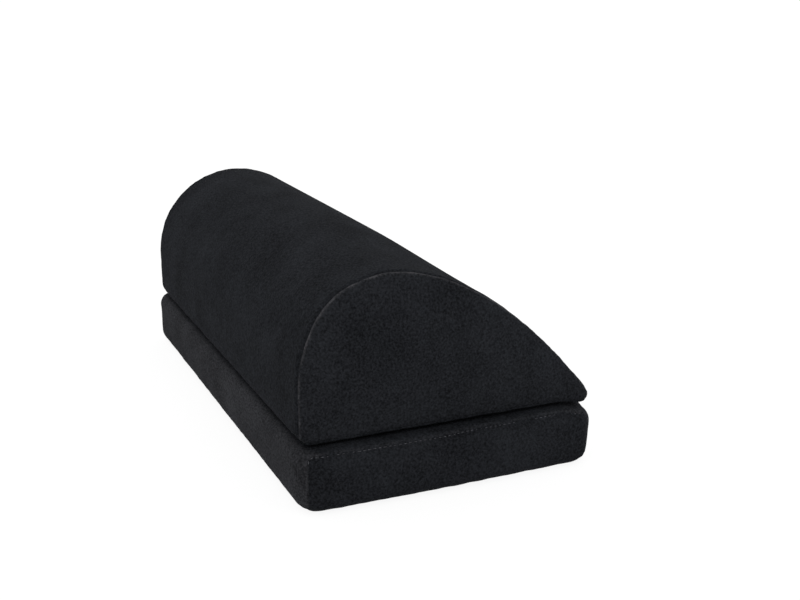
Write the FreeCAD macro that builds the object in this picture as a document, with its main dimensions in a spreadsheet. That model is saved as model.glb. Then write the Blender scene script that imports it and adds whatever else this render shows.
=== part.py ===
"""Two-tier footrest cushion: a foam slab on the floor and a teardrop-section cushion fixed on it by
hook and loop, each foam block in a zipped plush cover.

Frame: +X along the cushion, +Y to the steep rounded back, +Z up, origin on the floor under the middle.
"""
import FreeCAD, Part
import Sketcher
import math
import os
import re

doc = FreeCAD.newDocument("Footrest")
sheet = doc.addObject("Spreadsheet::Sheet", "Sizes")

# Driving dimensions, in millimetres
SIZES = [
    ("base_length", 440, "slab cushion, end to end at the crown"),
    ("base_width", 233, "slab cushion, across its corners"),
    ("base_height", 46.8, "floor to the slab cushion's top"),
    ("base_corner_radius", 16, "corner seen from above"),
    ("base_top_edge", 11, "rolled top edge"),
    ("base_bottom_edge", 9, "rolled bottom edge"),
    ("base_end_crown", 2.5, "how far the ends swell"),
    ("base_side_draw", 1.5, "how far the back side draws in between its corners"),
    ("base_seam_inset", 6, "end panel's seam, in from the long sides"),
    ("base_seam_drop", 3.4, "end panel's seam, below the slab's top"),
    ("base_seam_corner", 12, "corner of the end panel's seam"),
    ("top_length", 418, "teardrop cushion, end to end"),
    ("top_width", 228.5, "back to front edge"),
    ("top_height", 118.5, "underside to ridge"),
    ("ridge_radius", 78, "rounded back and ridge"),
    ("slope_radius", 450, "slope that the feet lie on"),
    ("nose_radius", 5, "thin front edge"),
    ("hem_radius", 10, "lower edge of the back"),
    ("end_roll", 4, "rolled edge round the end panels"),
    ("end_return", 6, "how far the end panels come round onto the sides"),
    ("top_seam_inset", 2.2, "underside's seam, above the underside"),
    ("cover_thickness", 1.5, "plush cloth"),
    ("foam_ease", 0.3, "room between foam and cover"),
    ("seam_gap", 0.3, "seam line between two panels"),
    ("base_hem", 2.5, "how far the grip panel turns up the sides"),
    ("strip_length", 150, "hook or loop strip"),
    ("strip_width", 25, "hook or loop strip"),
    ("strip_thickness", 1.2, "hook or loop strip"),
    ("strip_spacing", 260, "between the two strips' middles"),
    ("dot_radius", 3, "six-sided grip dot"),
    ("dot_height", 0.8, "grip dot"),
    ("dot_pitch", 44, "between grip dots"),
    ("dot_margin", 24, "outline to the outermost grip dots"),
    ("zip_margin", 36, "cushion's end to the end of the teeth"),
    ("zip_slot", 11, "opening of the cover along the zip"),
    ("zip_end_room", 10, "opening beyond the teeth"),
    ("tape_tail", 6, "tape beyond the opening"),
    ("zip_clearance", 0.3, "room round the zip in the foam"),
    ("tape_width", 11.5, "one zip tape, from the middle of the zip"),
    ("tape_thickness", 0.7, "zip tape"),
    ("nose_setback", 7.5, "front edge of the cushion to its zip tape"),
    ("tooth_pitch", 5, "teeth of one row"),
    ("tooth_root", 2.4, "tooth at the tape"),
    ("tooth_head", 1.8, "tooth at its head"),
    ("tooth_reach", 1, "tooth past the middle of the zip"),
    ("teeth_half_width", 3, "middle of the zip to the tape"),
    ("teeth_thickness", 2.2, "row of teeth"),
    ("slider_length", 11, "zip slider"),
    ("slider_width", 9.6, "zip slider at its shoulders"),
    ("slider_tail", 8.2, "zip slider at its tail"),
    ("slider_shoulder", 2.2, "cut-off corners of the slider"),
    ("slider_plate", 1, "each plate of the slider"),
    ("slider_play", 0.2, "teeth to each plate"),
    ("flange_width", 0.8, "lip along the slider's sides"),
    ("tape_play", 0.25, "tape to each lip"),
    ("wedge_length", 3.6, "wedge that parts the teeth"),
    ("wedge_width", 2.6, "wedge that parts the teeth"),
    ("bail_width", 2, "bridge that holds the pull"),
    ("bail_wall", 1.2, "bridge's legs"),
    ("bail_roof", 0.9, "bridge's top"),
    ("bail_span", 2.4, "between the bridge's legs"),
    ("pull_pivot", 0.95, "slider's plate to the pull's bar"),
    ("pull_bar", 1.1, "pull's bar and plate thickness"),
    ("pull_play", 0.3, "pull's bar to the bridge"),
    ("pull_length", 26, "bar to tip"),
    ("pull_width", 7, "at the tip"),
    ("pull_neck", 6, "at the bar"),
    ("pull_window", 4.4, "window round the bridge"),
    ("pull_window_width", 3.2, "window round the bridge"),
    ("pull_hole", 3, "hole near the tip"),
    ("pull_tip", 3, "rounded tip"),
    ("pull_round", 0.3, "rounding of the pull's bar"),
    ("stop_length", 2.2, "zip stop"),
    ("stop_play", 0.4, "slider or teeth to a stop"),
    ("stop_width", 2.2, "zip stop on one tape"),
    ("stop_thickness", 1, "zip stop"),
]
for row, (alias, size, note) in enumerate(SIZES, start=1):
    sheet.set(f"A{row}", note)
    sheet.set(f"B{row}", str(size))
    sheet.setAlias(f"B{row}", alias)
doc.recompute()

ALIASES = {alias for alias, _, _ in SIZES}
TOUCH = 1e-3


def bound(text):
    """An expression in which each bare alias reads its cell."""
    return re.sub("[a-z_]+", lambda word: f"Sizes.{word[0]}" if word[0] in ALIASES else word[0], text)


def value(text):
    return float(sheet.evalExpression(bound(text)))


# Places that more than one piece shares
GAP = "( strip_thickness + strip_thickness )"
TOP_FLOOR = f"( base_height + {GAP} )"
LINING = "( cover_thickness + foam_ease )"
BASE_FLOOR = "dot_height"
BASE_HEM = f"( {BASE_FLOOR} + base_hem )"
BASE_FRONT = "( 0 - base_width / 2 )"
BASE_TAPE = f"( {BASE_FRONT} + {LINING} )"
BASE_ZIP_Z = "( ( base_height + dot_height ) / 2 )"
TOP_TAPE = "( nose_setback - top_width / 2 )"
TOP_HEM = f"( {TOP_FLOOR} + top_seam_inset )"
TOP_ZIP_Z = f"( {TOP_HEM} + zip_slot / 2 )"
BASE_CHAIN = "( base_length - 2 * zip_margin )"
TOP_CHAIN = "( top_length - 2 * zip_margin )"


def plane(body, role):
    return next(feature for feature in body.Origin.OriginFeatures if feature.Role == role)


def new_body(label):
    body = doc.addObject("PartDesign::Body", label)
    body.Label = label
    return body


def new_sketch(body, role, label, **offset):
    """A sketch on one of the body's origin planes, set off by expressions along its own axes."""
    sketch = body.newObject("Sketcher::SketchObject", label)
    sketch.AttachmentSupport = (plane(body, role), [""])
    sketch.MapMode = "FlatFace"
    for axis, text in offset.items():
        sketch.setExpression(f"AttachmentOffset.Base.{axis}", bound(text))
    return sketch


def dimension(sketch, kind, *refs, size):
    """A named dimension of a sketch, bound to the sheet."""
    index = sketch.addConstraint(Sketcher.Constraint(kind, *refs, value(size)))
    sketch.setExpression(f"Constraints[{index}]", bound(size))


def polygon(sketch, corners):
    """A closed outline of straight edges; each corner is a pair of expressions."""
    points = [FreeCAD.Vector(value(x), value(y), 0) for x, y in corners]
    count = len(points)
    first = sketch.GeometryCount
    for start, end in zip(points, points[1:] + points[:1]):
        sketch.addGeometry(Part.LineSegment(start, end), False)
    for index in range(count):
        following = first + (index + 1) % count
        sketch.addConstraint(Sketcher.Constraint("Coincident", first + index, 2, following, 1))
    for index, (x, y) in enumerate(corners):
        dimension(sketch, "DistanceX", -1, 1, first + index, 1, size=x)
        dimension(sketch, "DistanceY", -1, 1, first + index, 1, size=y)


def circle(sketch, x, y, radius):
    centre = FreeCAD.Vector(value(x), value(y), 0)
    index = sketch.addGeometry(Part.Circle(centre, FreeCAD.Vector(0, 0, 1), value(radius)), False)
    dimension(sketch, "Radius", index, size=radius)
    dimension(sketch, "DistanceX", -1, 1, index, 3, size=x)
    dimension(sketch, "DistanceY", -1, 1, index, 3, size=y)


def pad(body, sketch, length, midplane=False, backwards=False):
    feature = body.newObject("PartDesign::Pad", f"{body.Label}_pad")
    feature.Profile = sketch
    feature.setExpression("Length", bound(length))
    feature.Midplane = midplane
    feature.Reversed = backwards
    body.Tip = feature
    doc.recompute()
    return feature


def pocket(body, sketch, length):
    """A cut through the body, the same way on both sides of its sketch."""
    before = body.Shape.Volume
    feature = body.newObject("PartDesign::Pocket", f"{body.Label}_pocket")
    feature.Profile = sketch
    feature.setExpression("Length", bound(length))
    feature.Midplane = True
    body.Tip = feature
    doc.recompute()
    if body.Shape.Volume >= before:
        raise RuntimeError(f"{body.Label}: a pocket cut nothing")
    return feature


def dressed(kind, size_name, body, edges, size):
    base = body.Tip
    names = [f"Edge{i}" for i, edge in enumerate(base.Shape.Edges, start=1) if edges(edge)]
    feature = body.newObject(kind, f"{body.Label}_edges")
    feature.Base = (base, names)
    feature.setExpression(size_name, bound(size))
    body.Tip = feature
    doc.recompute()
    return feature


def rounded(body, edges, radius):
    """Round those edges of the body's tip that a test picks."""
    return dressed("PartDesign::Fillet", "Radius", body, edges, radius)


def bevelled(body, edges, size):
    """Cut off straight those edges of the body's tip that a test picks."""
    return dressed("PartDesign::Chamfer", "Size", body, edges, size)


def block(label, x, y, z, length, depth, height):
    box = doc.addObject("Part::Box", label)
    box.Label = label
    for name, text in (("Length", length), ("Width", depth), ("Height", height)):
        box.setExpression(name, bound(text))
    for axis, text in (("x", x), ("y", y), ("z", z)):
        box.setExpression(f"Placement.Base.{axis}", bound(text))
    return box


def boolean(kind, label, base, *tools):
    """Part::Cut, Part::Common or Part::MultiFuse of document objects."""
    together = kind == "Part::MultiFuse"
    if len(tools) > 1 and not together:
        tools = [boolean("Part::MultiFuse", f"{label}_tools", *tools)]
    feature = doc.addObject(kind, label)
    feature.Label = label
    if together:
        feature.Shapes = [base, *tools]
    else:
        feature.Base = base
        feature.Tool = tools[0]
    doc.recompute()
    return feature


def place(feature, x, y, z):
    for axis, text in (("x", x), ("y", y), ("z", z)):
        feature.setExpression(f"Placement.Base.{axis}", bound(text))


# Slab cushion: the outline from above, at any depth inside the cover's outer face

END_RADIUS = "( ( ( base_width / 2 ) ^ 2 + base_end_crown ^ 2 ) / ( 2 * base_end_crown ) )"
END_CENTRE = f"( base_length / 2 - {END_RADIUS} )"
CORNER_Y = "( base_width / 2 - base_corner_radius )"
CORNER_X = f"( {END_CENTRE} + sqrt( ( {END_RADIUS} - base_corner_radius ) ^ 2 - {CORNER_Y} ^ 2 ) )"
DRAWN = "( base_corner_radius - base_side_draw )"
SIDE_RADIUS = f"( ( {CORNER_X} ^ 2 + {DRAWN} ^ 2 - base_corner_radius ^ 2 ) / ( 2 * base_side_draw ) )"


def arc(centre, radius, start, end):
    circle_of_arc = Part.Circle(FreeCAD.Vector(*centre, 0), FreeCAD.Vector(0, 0, 1), radius)
    return Part.ArcOfCircle(circle_of_arc, start, end)


def slab_outline(sketch, inset):
    """Swelling ends, a back side drawn in between its corners and a straight front side for the zip."""
    depth = value(inset)
    corner = value("base_corner_radius")
    corner_x = value(CORNER_X)
    corner_y = value(CORNER_Y)
    end_x = value(END_CENTRE)
    end_radius = value(END_RADIUS) - depth
    side_radius = value(SIDE_RADIUS)
    side_y = value("base_width / 2 - base_side_draw") + side_radius
    end_angle = math.atan2(corner_y, corner_x - end_x)
    side_angle = math.atan2(side_y - corner_y, -corner_x)
    half, whole = math.pi / 2, math.pi
    front = -corner_y - corner + depth
    curves = [
        arc((end_x, 0), end_radius, -end_angle, end_angle),
        arc((corner_x, corner_y), corner - depth, end_angle, side_angle),
        arc((0, side_y), side_radius + depth, side_angle - whole, -side_angle),
        arc((-corner_x, corner_y), corner - depth, whole - side_angle, whole - end_angle),
        arc((-end_x, 0), end_radius, whole - end_angle, whole + end_angle),
        arc((-corner_x, -corner_y), corner - depth, whole + end_angle, 3 * half),
        Part.LineSegment(FreeCAD.Vector(-corner_x, front, 0), FreeCAD.Vector(corner_x, front, 0)),
        arc((corner_x, -corner_y), corner - depth, -half, -end_angle),
    ]
    for curve in curves:
        sketch.addGeometry(curve, False)
    east, north_east, back, north_west, west, south_west, front_line, south_east = range(8)
    joins = [
        (east, 2, north_east, 1), (north_east, 2, back, 2), (back, 1, north_west, 1),
        (north_west, 2, west, 1), (west, 2, south_west, 1), (south_west, 2, front_line, 1),
        (front_line, 2, south_east, 1), (south_east, 2, east, 1),
    ]
    for join in joins:
        sketch.addConstraint(Sketcher.Constraint("Tangent", *join))
    sketch.addConstraint(Sketcher.Constraint("Horizontal", front_line))
    for end in (east, west):
        sketch.addConstraint(Sketcher.Constraint("PointOnObject", end, 3, -1))
        dimension(sketch, "Radius", end, size=f"{END_RADIUS} - {inset}")
    sketch.addConstraint(Sketcher.Constraint("PointOnObject", back, 3, -2))
    dimension(sketch, "DistanceX", -1, 1, east, 3, size=END_CENTRE)
    dimension(sketch, "DistanceX", west, 3, -1, 1, size=END_CENTRE)
    dimension(sketch, "Radius", back, size=f"{SIDE_RADIUS} + {inset}")
    for corner_arc in (north_east, north_west, south_west, south_east):
        dimension(sketch, "Radius", corner_arc, size=f"base_corner_radius - {inset}")
    dimension(sketch, "DistanceY", -1, 1, north_east, 3, size=CORNER_Y)
    dimension(sketch, "DistanceY", south_east, 3, -1, 1, size=CORNER_Y)


def flat_at(axis, level):
    """Test for the edges that lie in a plane across an axis."""
    def lies(edge):
        low, high = getattr(edge.BoundBox, f"{axis}Min"), getattr(edge.BoundBox, f"{axis}Max")
        return max(abs(level - low), abs(level - high)) < TOUCH
    return lies


def slab_form(label, inset, finish):
    """The slab at a depth; its edges are rolled like the cover's or cut off straight like the foam's."""
    body = new_body(label)
    sketch = new_sketch(body, "XY_Plane", f"{label}_outline", z=f"{BASE_FLOOR} + {inset}")
    slab_outline(sketch, inset)
    pad(body, sketch, f"base_height - {BASE_FLOOR} - 2 * {inset}")
    finish(body, flat_at("Z", value(f"base_height - {inset}")), f"base_top_edge - {inset}")
    finish(body, flat_at("Z", value(f"{BASE_FLOOR} + {inset}")), f"base_bottom_edge - {inset}")
    return body


# Teardrop cushion: the section from the end, at any depth inside the cover's outer face

RIDGE_Y = "( top_width / 2 - ridge_radius )"
RIDGE_Z = "( top_height - ridge_radius )"
NOSE_Y = "( nose_radius - top_width / 2 )"
HEM_Y = "( top_width / 2 - hem_radius )"


def slope_centre():
    """Middle of the slope's arc, which touches the ridge's arc and the nose's arc from outside them."""
    ridge = FreeCAD.Vector(value(RIDGE_Y), value(RIDGE_Z), 0)
    nose = FreeCAD.Vector(value(NOSE_Y), value("nose_radius"), 0)
    from_ridge = value("slope_radius - ridge_radius")
    from_nose = value("slope_radius - nose_radius")
    apart = (nose - ridge).Length
    along = (apart ** 2 + from_ridge ** 2 - from_nose ** 2) / (2 * apart)
    across = math.sqrt(from_ridge ** 2 - along ** 2)
    toward = (nose - ridge) / apart
    return ridge + toward * along + FreeCAD.Vector(-toward.y, toward.x, 0) * across


def teardrop(inset):
    """Curves of the section, anticlockwise from the flat underside."""
    def radius(name):
        return value(f"{name} - ( {inset} )")

    slope = slope_centre()
    ridge = FreeCAD.Vector(value(RIDGE_Y), value(RIDGE_Z), 0)
    nose = FreeCAD.Vector(value(NOSE_Y), value("nose_radius"), 0)
    hem = FreeCAD.Vector(value(HEM_Y), value("hem_radius"), 0)
    floor = nose.y - radius("nose_radius")
    back = hem.x + radius("hem_radius")
    crest = math.atan2(ridge.y - slope.y, ridge.x - slope.x)
    foot = math.atan2(nose.y - slope.y, nose.x - slope.x)
    half = math.pi / 2
    return [
        Part.LineSegment(FreeCAD.Vector(nose.x, floor, 0), FreeCAD.Vector(hem.x, floor, 0)),
        arc((hem.x, hem.y), radius("hem_radius"), -half, 0),
        Part.LineSegment(FreeCAD.Vector(back, hem.y, 0), FreeCAD.Vector(back, ridge.y, 0)),
        arc((ridge.x, ridge.y), radius("ridge_radius"), 0, crest),
        arc((slope.x, slope.y), radius("slope_radius"), crest, foot),
        arc((nose.x, nose.y), radius("nose_radius"), foot, 3 * half),
    ]


def teardrop_outline(sketch, inset):
    for curve in teardrop(inset):
        sketch.addGeometry(curve, False)
    floor_line, hem, back, ridge, slope, nose = range(6)
    loop = [floor_line, hem, back, ridge, slope, nose]
    for piece, following in zip(loop, loop[1:] + loop[:1]):
        sketch.addConstraint(Sketcher.Constraint("Tangent", piece, 2, following, 1))
    sketch.addConstraint(Sketcher.Constraint("Horizontal", floor_line))
    sketch.addConstraint(Sketcher.Constraint("Vertical", back))
    for curve, name in ((hem, "hem"), (ridge, "ridge"), (slope, "slope"), (nose, "nose")):
        dimension(sketch, "Radius", curve, size=f"{name}_radius - ( {inset} )")
    dimension(sketch, "DistanceX", -1, 1, nose, 3, size=NOSE_Y)
    dimension(sketch, "DistanceY", -1, 1, nose, 3, size="nose_radius")
    dimension(sketch, "DistanceX", -1, 1, hem, 3, size=HEM_Y)
    dimension(sketch, "DistanceY", -1, 1, ridge, 3, size=RIDGE_Z)


def teardrop_prism(label, inset, length):
    body = new_body(label)
    sketch = new_sketch(body, "YZ_Plane", f"{label}_section", y=TOP_FLOOR)
    teardrop_outline(sketch, inset)
    pad(body, sketch, length, midplane=True)
    return body


def teardrop_form(label, inset, finish):
    """The teardrop at a depth; its end edges are rolled like the cover's or cut off straight."""
    flat = f"( top_length / 2 - {inset} )"
    body = teardrop_prism(label, inset, f"2 * {flat}")
    for level in (flat, f"0 - {flat}"):
        finish(body, flat_at("X", value(level)), f"end_roll - {inset}")
    return body


# Zip: two tapes, two rows of teeth, stops, slider and pull, set out about the middle of the closed zip

CAVITY = "( teeth_thickness / 2 + slider_play )"
PLATE_FACE = f"( {CAVITY} + slider_plate )"
BAIL_INSIDE = "( pull_pivot + pull_bar / 2 + pull_play )"
ABOVE, BELOW = "1", "-1"
UPPER_START, LOWER_START = 0.25, 0.75


def teeth_row(label, side, chain, first_tooth, depth, middle):
    """Moulded teeth that stand on one tape and reach past the middle, between the other row's teeth.

    The first tooth's place is in pitches from the end of the chain.
    """
    tooth = new_body(f"{label}_tooth")
    sketch = new_sketch(tooth, "XZ_Plane", f"{label}_outline")
    root = ("tooth_root / 2", f"{side} * teeth_half_width")
    head = ("tooth_head / 2", f"0 - {side} * tooth_reach")
    polygon(sketch, [root, head] + [(f"0 - {x}", z) for x, z in (head, root)])
    pad(tooth, sketch, "teeth_thickness", midplane=True)
    row = doc.addObject("Part::Feature", label)
    pitch = value("tooth_pitch")
    count = math.floor(value(chain) / pitch)
    start = (first_tooth - count / 2) * pitch
    spot = FreeCAD.Vector(0, value(depth), value(middle))
    row.Shape = Part.makeCompound([
        tooth.Shape.translated(spot + FreeCAD.Vector(start + index * pitch, 0, 0)) for index in range(count)
    ])
    return row


def slider_body(label):
    """Two shield-shaped plates joined by the wedge, lips that hold the teeth in, and the pull's bridge."""
    body = new_body(label)
    nose, tail = "slider_length / 2", "0 - slider_length / 2"
    shoulder = f"{nose} - slider_shoulder"

    def mirrored(points):
        return points + [(x, f"0 - ( {y} )") for x, y in reversed(points)]

    wedge = new_sketch(body, "XZ_Plane", f"{label}_wedge")
    point = (f"{nose} - wedge_length", "0")
    cheek = [(f"{nose} - wedge_length / 3", "wedge_width / 2"), (nose, "wedge_width / 3")]
    polygon(wedge, [point] + mirrored(cheek))
    pad(body, wedge, f"2 * {CAVITY}", midplane=True)

    shield = [
        (tail, "slider_tail / 2"),
        (shoulder, "slider_width / 2"),
        (nose, "slider_width / 2 - slider_shoulder"),
    ]
    for name, level in (("front", CAVITY), ("rear", f"0 - {PLATE_FACE}")):
        plate = new_sketch(body, "XZ_Plane", f"{label}_{name}", z=level)
        polygon(plate, mirrored(shield))
        pad(body, plate, "slider_plate")

    lip_height = f"( {CAVITY} - tape_thickness / 2 - tape_play )"
    for name, level in (("front", f"{CAVITY} - {lip_height}"), ("rear", f"0 - {CAVITY}")):
        lips = new_sketch(body, "XZ_Plane", f"{label}_{name}_lips", z=level)
        for side in (ABOVE, BELOW):
            outer = [(tail, f"{side} * slider_tail / 2"), (shoulder, f"{side} * slider_width / 2")]
            inner = [(x, f"{y} - {side} * flange_width") for x, y in reversed(outer)]
            polygon(lips, outer + inner)
        pad(body, lips, lip_height)

    bridge = new_sketch(body, "XY_Plane", f"{label}_bridge")
    leg, foot = "( bail_span / 2 + bail_wall )", "( bail_span / 2 )"
    plate_y = f"0 - {PLATE_FACE}"
    under = f"{plate_y} - {BAIL_INSIDE}"
    roof = f"{under} - bail_roof"
    arch = [(foot, plate_y), (foot, under), (f"0 - {foot}", under), (f"0 - {foot}", plate_y)]
    outside = [(f"0 - {leg}", plate_y), (f"0 - {leg}", roof), (leg, roof), (leg, plate_y)]
    polygon(bridge, arch + outside)
    pad(body, bridge, "bail_width", midplane=True)
    return body


def pull_body(label):
    """A tab with a window round the bridge; the bar across its end is what it swings on."""
    body = new_body(label)
    bar, tip = "pull_bar / 2", "0 - pull_length"
    window_end = "0 - pull_bar / 2 - pull_window"
    sketch = new_sketch(body, "XZ_Plane", f"{label}_tab")
    half = [(bar, "pull_neck / 2"), (f"{window_end} - pull_bar", "pull_neck / 2"), (tip, "pull_width / 2")]
    polygon(sketch, half + [(x, f"0 - {y}") for x, y in reversed(half)])
    pad(body, sketch, "pull_bar", midplane=True)
    cut = new_sketch(body, "XZ_Plane", f"{label}_cuts")
    side = "pull_window_width / 2"
    window = [(f"0 - {bar}", side), (window_end, side)]
    polygon(cut, window + [(x, f"0 - {y}") for x, y in reversed(window)])
    circle(cut, f"{tip} + pull_width / 2", "0", "pull_hole / 2")
    pocket(body, cut, "2 * pull_bar")

    def tip_corner(edge):
        return flat_at("X", value(tip))(edge) and edge.BoundBox.ZLength < TOUCH

    def bar_edge(edge):
        return flat_at("X", value(bar))(edge) and edge.BoundBox.ZLength > value("pull_neck / 2")

    rounded(body, tip_corner, "pull_tip")
    rounded(body, bar_edge, "pull_round")
    return body


def stops(label, chain, tape_face, middle):
    """Two stops past the closed end, one on each tape, and one across both tapes at the open end."""
    front = f"{tape_face} - stop_thickness"
    closed = f"{chain} / 2 + slider_length / 2 + stop_play"
    pieces = [
        block(f"{label}_above", closed, front, f"{middle} + teeth_half_width",
              "stop_length", "stop_thickness", "stop_width"),
        block(f"{label}_below", closed, front, f"{middle} - teeth_half_width - stop_width",
              "stop_length", "stop_thickness", "stop_width"),
        block(f"{label}_across", f"0 - {chain} / 2 - stop_play - stop_length", front,
              f"{middle} - teeth_half_width - stop_width",
              "stop_length", "stop_thickness", "2 * ( teeth_half_width + stop_width )"),
    ]
    return boolean("Part::MultiFuse", label, *pieces)


def zip_hardware(cushion, chain, tape_face, middle):
    """Teeth, stops, slider and pull of one closed zip; the slider is parked at the +X end."""
    depth = f"{tape_face} + tape_thickness / 2"
    upper = teeth_row(f"{cushion}_zip_teeth_upper", ABOVE, chain, UPPER_START, depth, middle)
    lower = teeth_row(f"{cushion}_zip_teeth_lower", BELOW, chain, LOWER_START, depth, middle)
    slider = slider_body(f"{cushion}_zip_slider")
    place(slider, f"{chain} / 2", depth, middle)
    pull = pull_body(f"{cushion}_zip_pull")
    place(pull, f"{chain} / 2", f"{depth} - {PLATE_FACE} - pull_pivot", middle)
    return [upper, lower, stops(f"{cushion}_zip_stops", chain, tape_face, middle), slider, pull]


def tape_span(chain):
    return f"( {chain} + 2 * ( zip_end_room + tape_tail ) )"


def slot_span(chain):
    return f"( {chain} + 2 * zip_end_room )"


# Slab cushion: cover panels, foam, hook strips and zip

base_outer = slab_form("base_outer_face", "0", rounded)
base_inner = slab_form("base_inner_face", "cover_thickness", bevelled)
base_cover = boolean("Part::Cut", "base_cover", base_outer, base_inner)


def end_seam(label, shrink, floor, length, backwards=False):
    """Outline of an end panel, rounded at its upper corners, run along the cushion."""
    body = new_body(label)
    sketch = new_sketch(body, "YZ_Plane", f"{label}_outline")
    side = f"( base_width / 2 - base_seam_inset - {shrink} )"
    roof = f"( base_height - base_seam_drop - {shrink} )"
    radius = f"( base_seam_corner - {shrink} )"
    wide, low, high, bend = value(side), value(floor), value(roof), value(radius)
    quarter = math.pi / 2
    curves = [
        Part.LineSegment(FreeCAD.Vector(-wide, low, 0), FreeCAD.Vector(wide, low, 0)),
        Part.LineSegment(FreeCAD.Vector(wide, low, 0), FreeCAD.Vector(wide, high - bend, 0)),
        arc((wide - bend, high - bend), bend, 0, quarter),
        Part.LineSegment(FreeCAD.Vector(wide - bend, high, 0), FreeCAD.Vector(bend - wide, high, 0)),
        arc((bend - wide, high - bend), bend, quarter, 2 * quarter),
        Part.LineSegment(FreeCAD.Vector(-wide, high - bend, 0), FreeCAD.Vector(-wide, low, 0)),
    ]
    for curve in curves:
        sketch.addGeometry(curve, False)
    bottom, right, right_bend, top, left_bend, left = range(6)
    for corner in ((bottom, 2, right, 1), (left, 2, bottom, 1)):
        sketch.addConstraint(Sketcher.Constraint("Coincident", *corner))
    joins = [
        (right, 2, right_bend, 1), (right_bend, 2, top, 1), (top, 2, left_bend, 1), (left_bend, 2, left, 1),
    ]
    for join in joins:
        sketch.addConstraint(Sketcher.Constraint("Tangent", *join))
    for level in (bottom, top):
        sketch.addConstraint(Sketcher.Constraint("Horizontal", level))
    for wall in (right, left):
        sketch.addConstraint(Sketcher.Constraint("Vertical", wall))
    for bend_arc in (right_bend, left_bend):
        dimension(sketch, "Radius", bend_arc, size=radius)
    dimension(sketch, "DistanceX", -1, 1, right, 1, size=side)
    dimension(sketch, "DistanceX", left, 2, -1, 1, size=side)
    dimension(sketch, "DistanceY", -1, 1, bottom, 1, size=floor)
    dimension(sketch, "DistanceY", -1, 1, top, 1, size=roof)
    pad(body, sketch, length, midplane=False, backwards=backwards)
    return body


def half_ends(cushion, maker):
    """A cutter for each end, made by a function of its label and direction."""
    return {end: maker(f"{cushion}_{end}_cutter", end == "left") for end in ("left", "right")}


base_ends = half_ends(
    "base",
    lambda label, backwards: end_seam(label, "seam_gap", f"{BASE_HEM} + seam_gap", "base_length", backwards),
)
base_openings = half_ends(
    "base_wrap",
    lambda label, backwards: end_seam(label, "0", BASE_FLOOR, "base_length", backwards),
)
base_end_panels = [
    boolean("Part::Common", f"base_end_panel_{end}", base_cover, cutter) for end, cutter in base_ends.items()
]

base_hem_cutter = block(
    "base_hem_cutter", "0 - base_length", "0 - base_width", "0", "2 * base_length", "2 * base_width",
    f"{BASE_HEM} + seam_gap")
base_slot_cutter = block(
    "base_slot_cutter", f"0 - {slot_span(BASE_CHAIN)} / 2", f"2 * {BASE_FRONT}",
    f"{BASE_ZIP_Z} - zip_slot / 2",
    slot_span(BASE_CHAIN), f"{BASE_TAPE} - 2 * {BASE_FRONT}", "zip_slot")
base_wrap = boolean(
    "Part::Cut", "base_wrap_panel", base_cover, *base_openings.values(), base_hem_cutter, base_slot_cutter)

grip_cloth = boolean(
    "Part::Common", "base_grip_cloth", base_cover,
    block("base_grip_cutter", "0 - base_length", "0 - base_width", "0", "2 * base_length", "2 * base_width",
          BASE_HEM))
DOT_SIDES = 6


def spread(span):
    """Places of the grip dots along one side of the underside."""
    pitch = value("dot_pitch")
    count = math.floor((value(span) - 2 * value("dot_margin")) / pitch) + 1
    return [(index - (count - 1) / 2) * pitch for index in range(count)]


def grip_dot(x, y):
    turns = [2 * math.pi * step / DOT_SIDES for step in range(DOT_SIDES)]
    radius = value("dot_radius")
    ring = [FreeCAD.Vector(x + radius * math.cos(turn), y + radius * math.sin(turn), 0) for turn in turns]
    return Part.Face(Part.makePolygon(ring + ring[:1])).extrude(FreeCAD.Vector(0, 0, value("dot_height")))


grip_dots = doc.addObject("Part::Feature", "base_grip_dots")
grip_dots.Shape = Part.makeCompound([
    grip_dot(x, y) for x in spread("base_length") for y in spread("base_width")
])
base_grip = boolean("Part::MultiFuse", "base_grip_panel", grip_cloth, grip_dots)

base_tapes = [
    block(f"base_zip_tape_{name}", f"0 - {tape_span(BASE_CHAIN)} / 2", BASE_TAPE, f"{BASE_ZIP_Z} + {low}",
          tape_span(BASE_CHAIN), "tape_thickness", "tape_width - teeth_half_width")
    for name, low in (("upper", "teeth_half_width"), ("lower", "-1 * tape_width"))
]
base_zip = zip_hardware("base", BASE_CHAIN, BASE_TAPE, BASE_ZIP_Z)

RELIEF = f"( {tape_span(BASE_CHAIN)} + 2 * zip_clearance )"
base_foam = boolean(
    "Part::Cut", "base_foam_slab", slab_form("base_foam_form", LINING, bevelled),
    block("base_tape_relief", f"0 - {RELIEF} / 2", f"2 * {BASE_FRONT}",
          f"{BASE_ZIP_Z} - tape_width - zip_clearance",
          RELIEF, f"{BASE_TAPE} + tape_thickness + zip_clearance - 2 * {BASE_FRONT}",
          "2 * ( tape_width + zip_clearance )"),
    block("base_slider_relief", f"0 - {RELIEF} / 2", f"2 * {BASE_FRONT}",
          f"{BASE_ZIP_Z} - slider_width / 2 - zip_clearance",
          RELIEF, f"{BASE_TAPE} + tape_thickness / 2 + {PLATE_FACE} + zip_clearance - 2 * {BASE_FRONT}",
          "slider_width + 2 * zip_clearance"))


def strips(label, floor):
    """Two strips across the cushions, cut square from tape."""
    pieces = [
        block(f"{label}_{name}", f"{side} * strip_spacing / 2 - strip_width / 2", "0 - strip_length / 2",
              floor, "strip_width", "strip_length", "strip_thickness")
        for name, side in (("left", "-1"), ("right", "1"))
    ]
    return boolean("Part::MultiFuse", label, *pieces)


hooks = strips("base_hook_strips", "base_height")

# Teardrop cushion: cover panels, foam, loop strips and zip

top_outer = teardrop_form("top_outer_face", "0", rounded)
top_inner = teardrop_form("top_inner_face", "cover_thickness", bevelled)
top_cover = boolean("Part::Cut", "top_cover", top_outer, top_inner)


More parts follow.
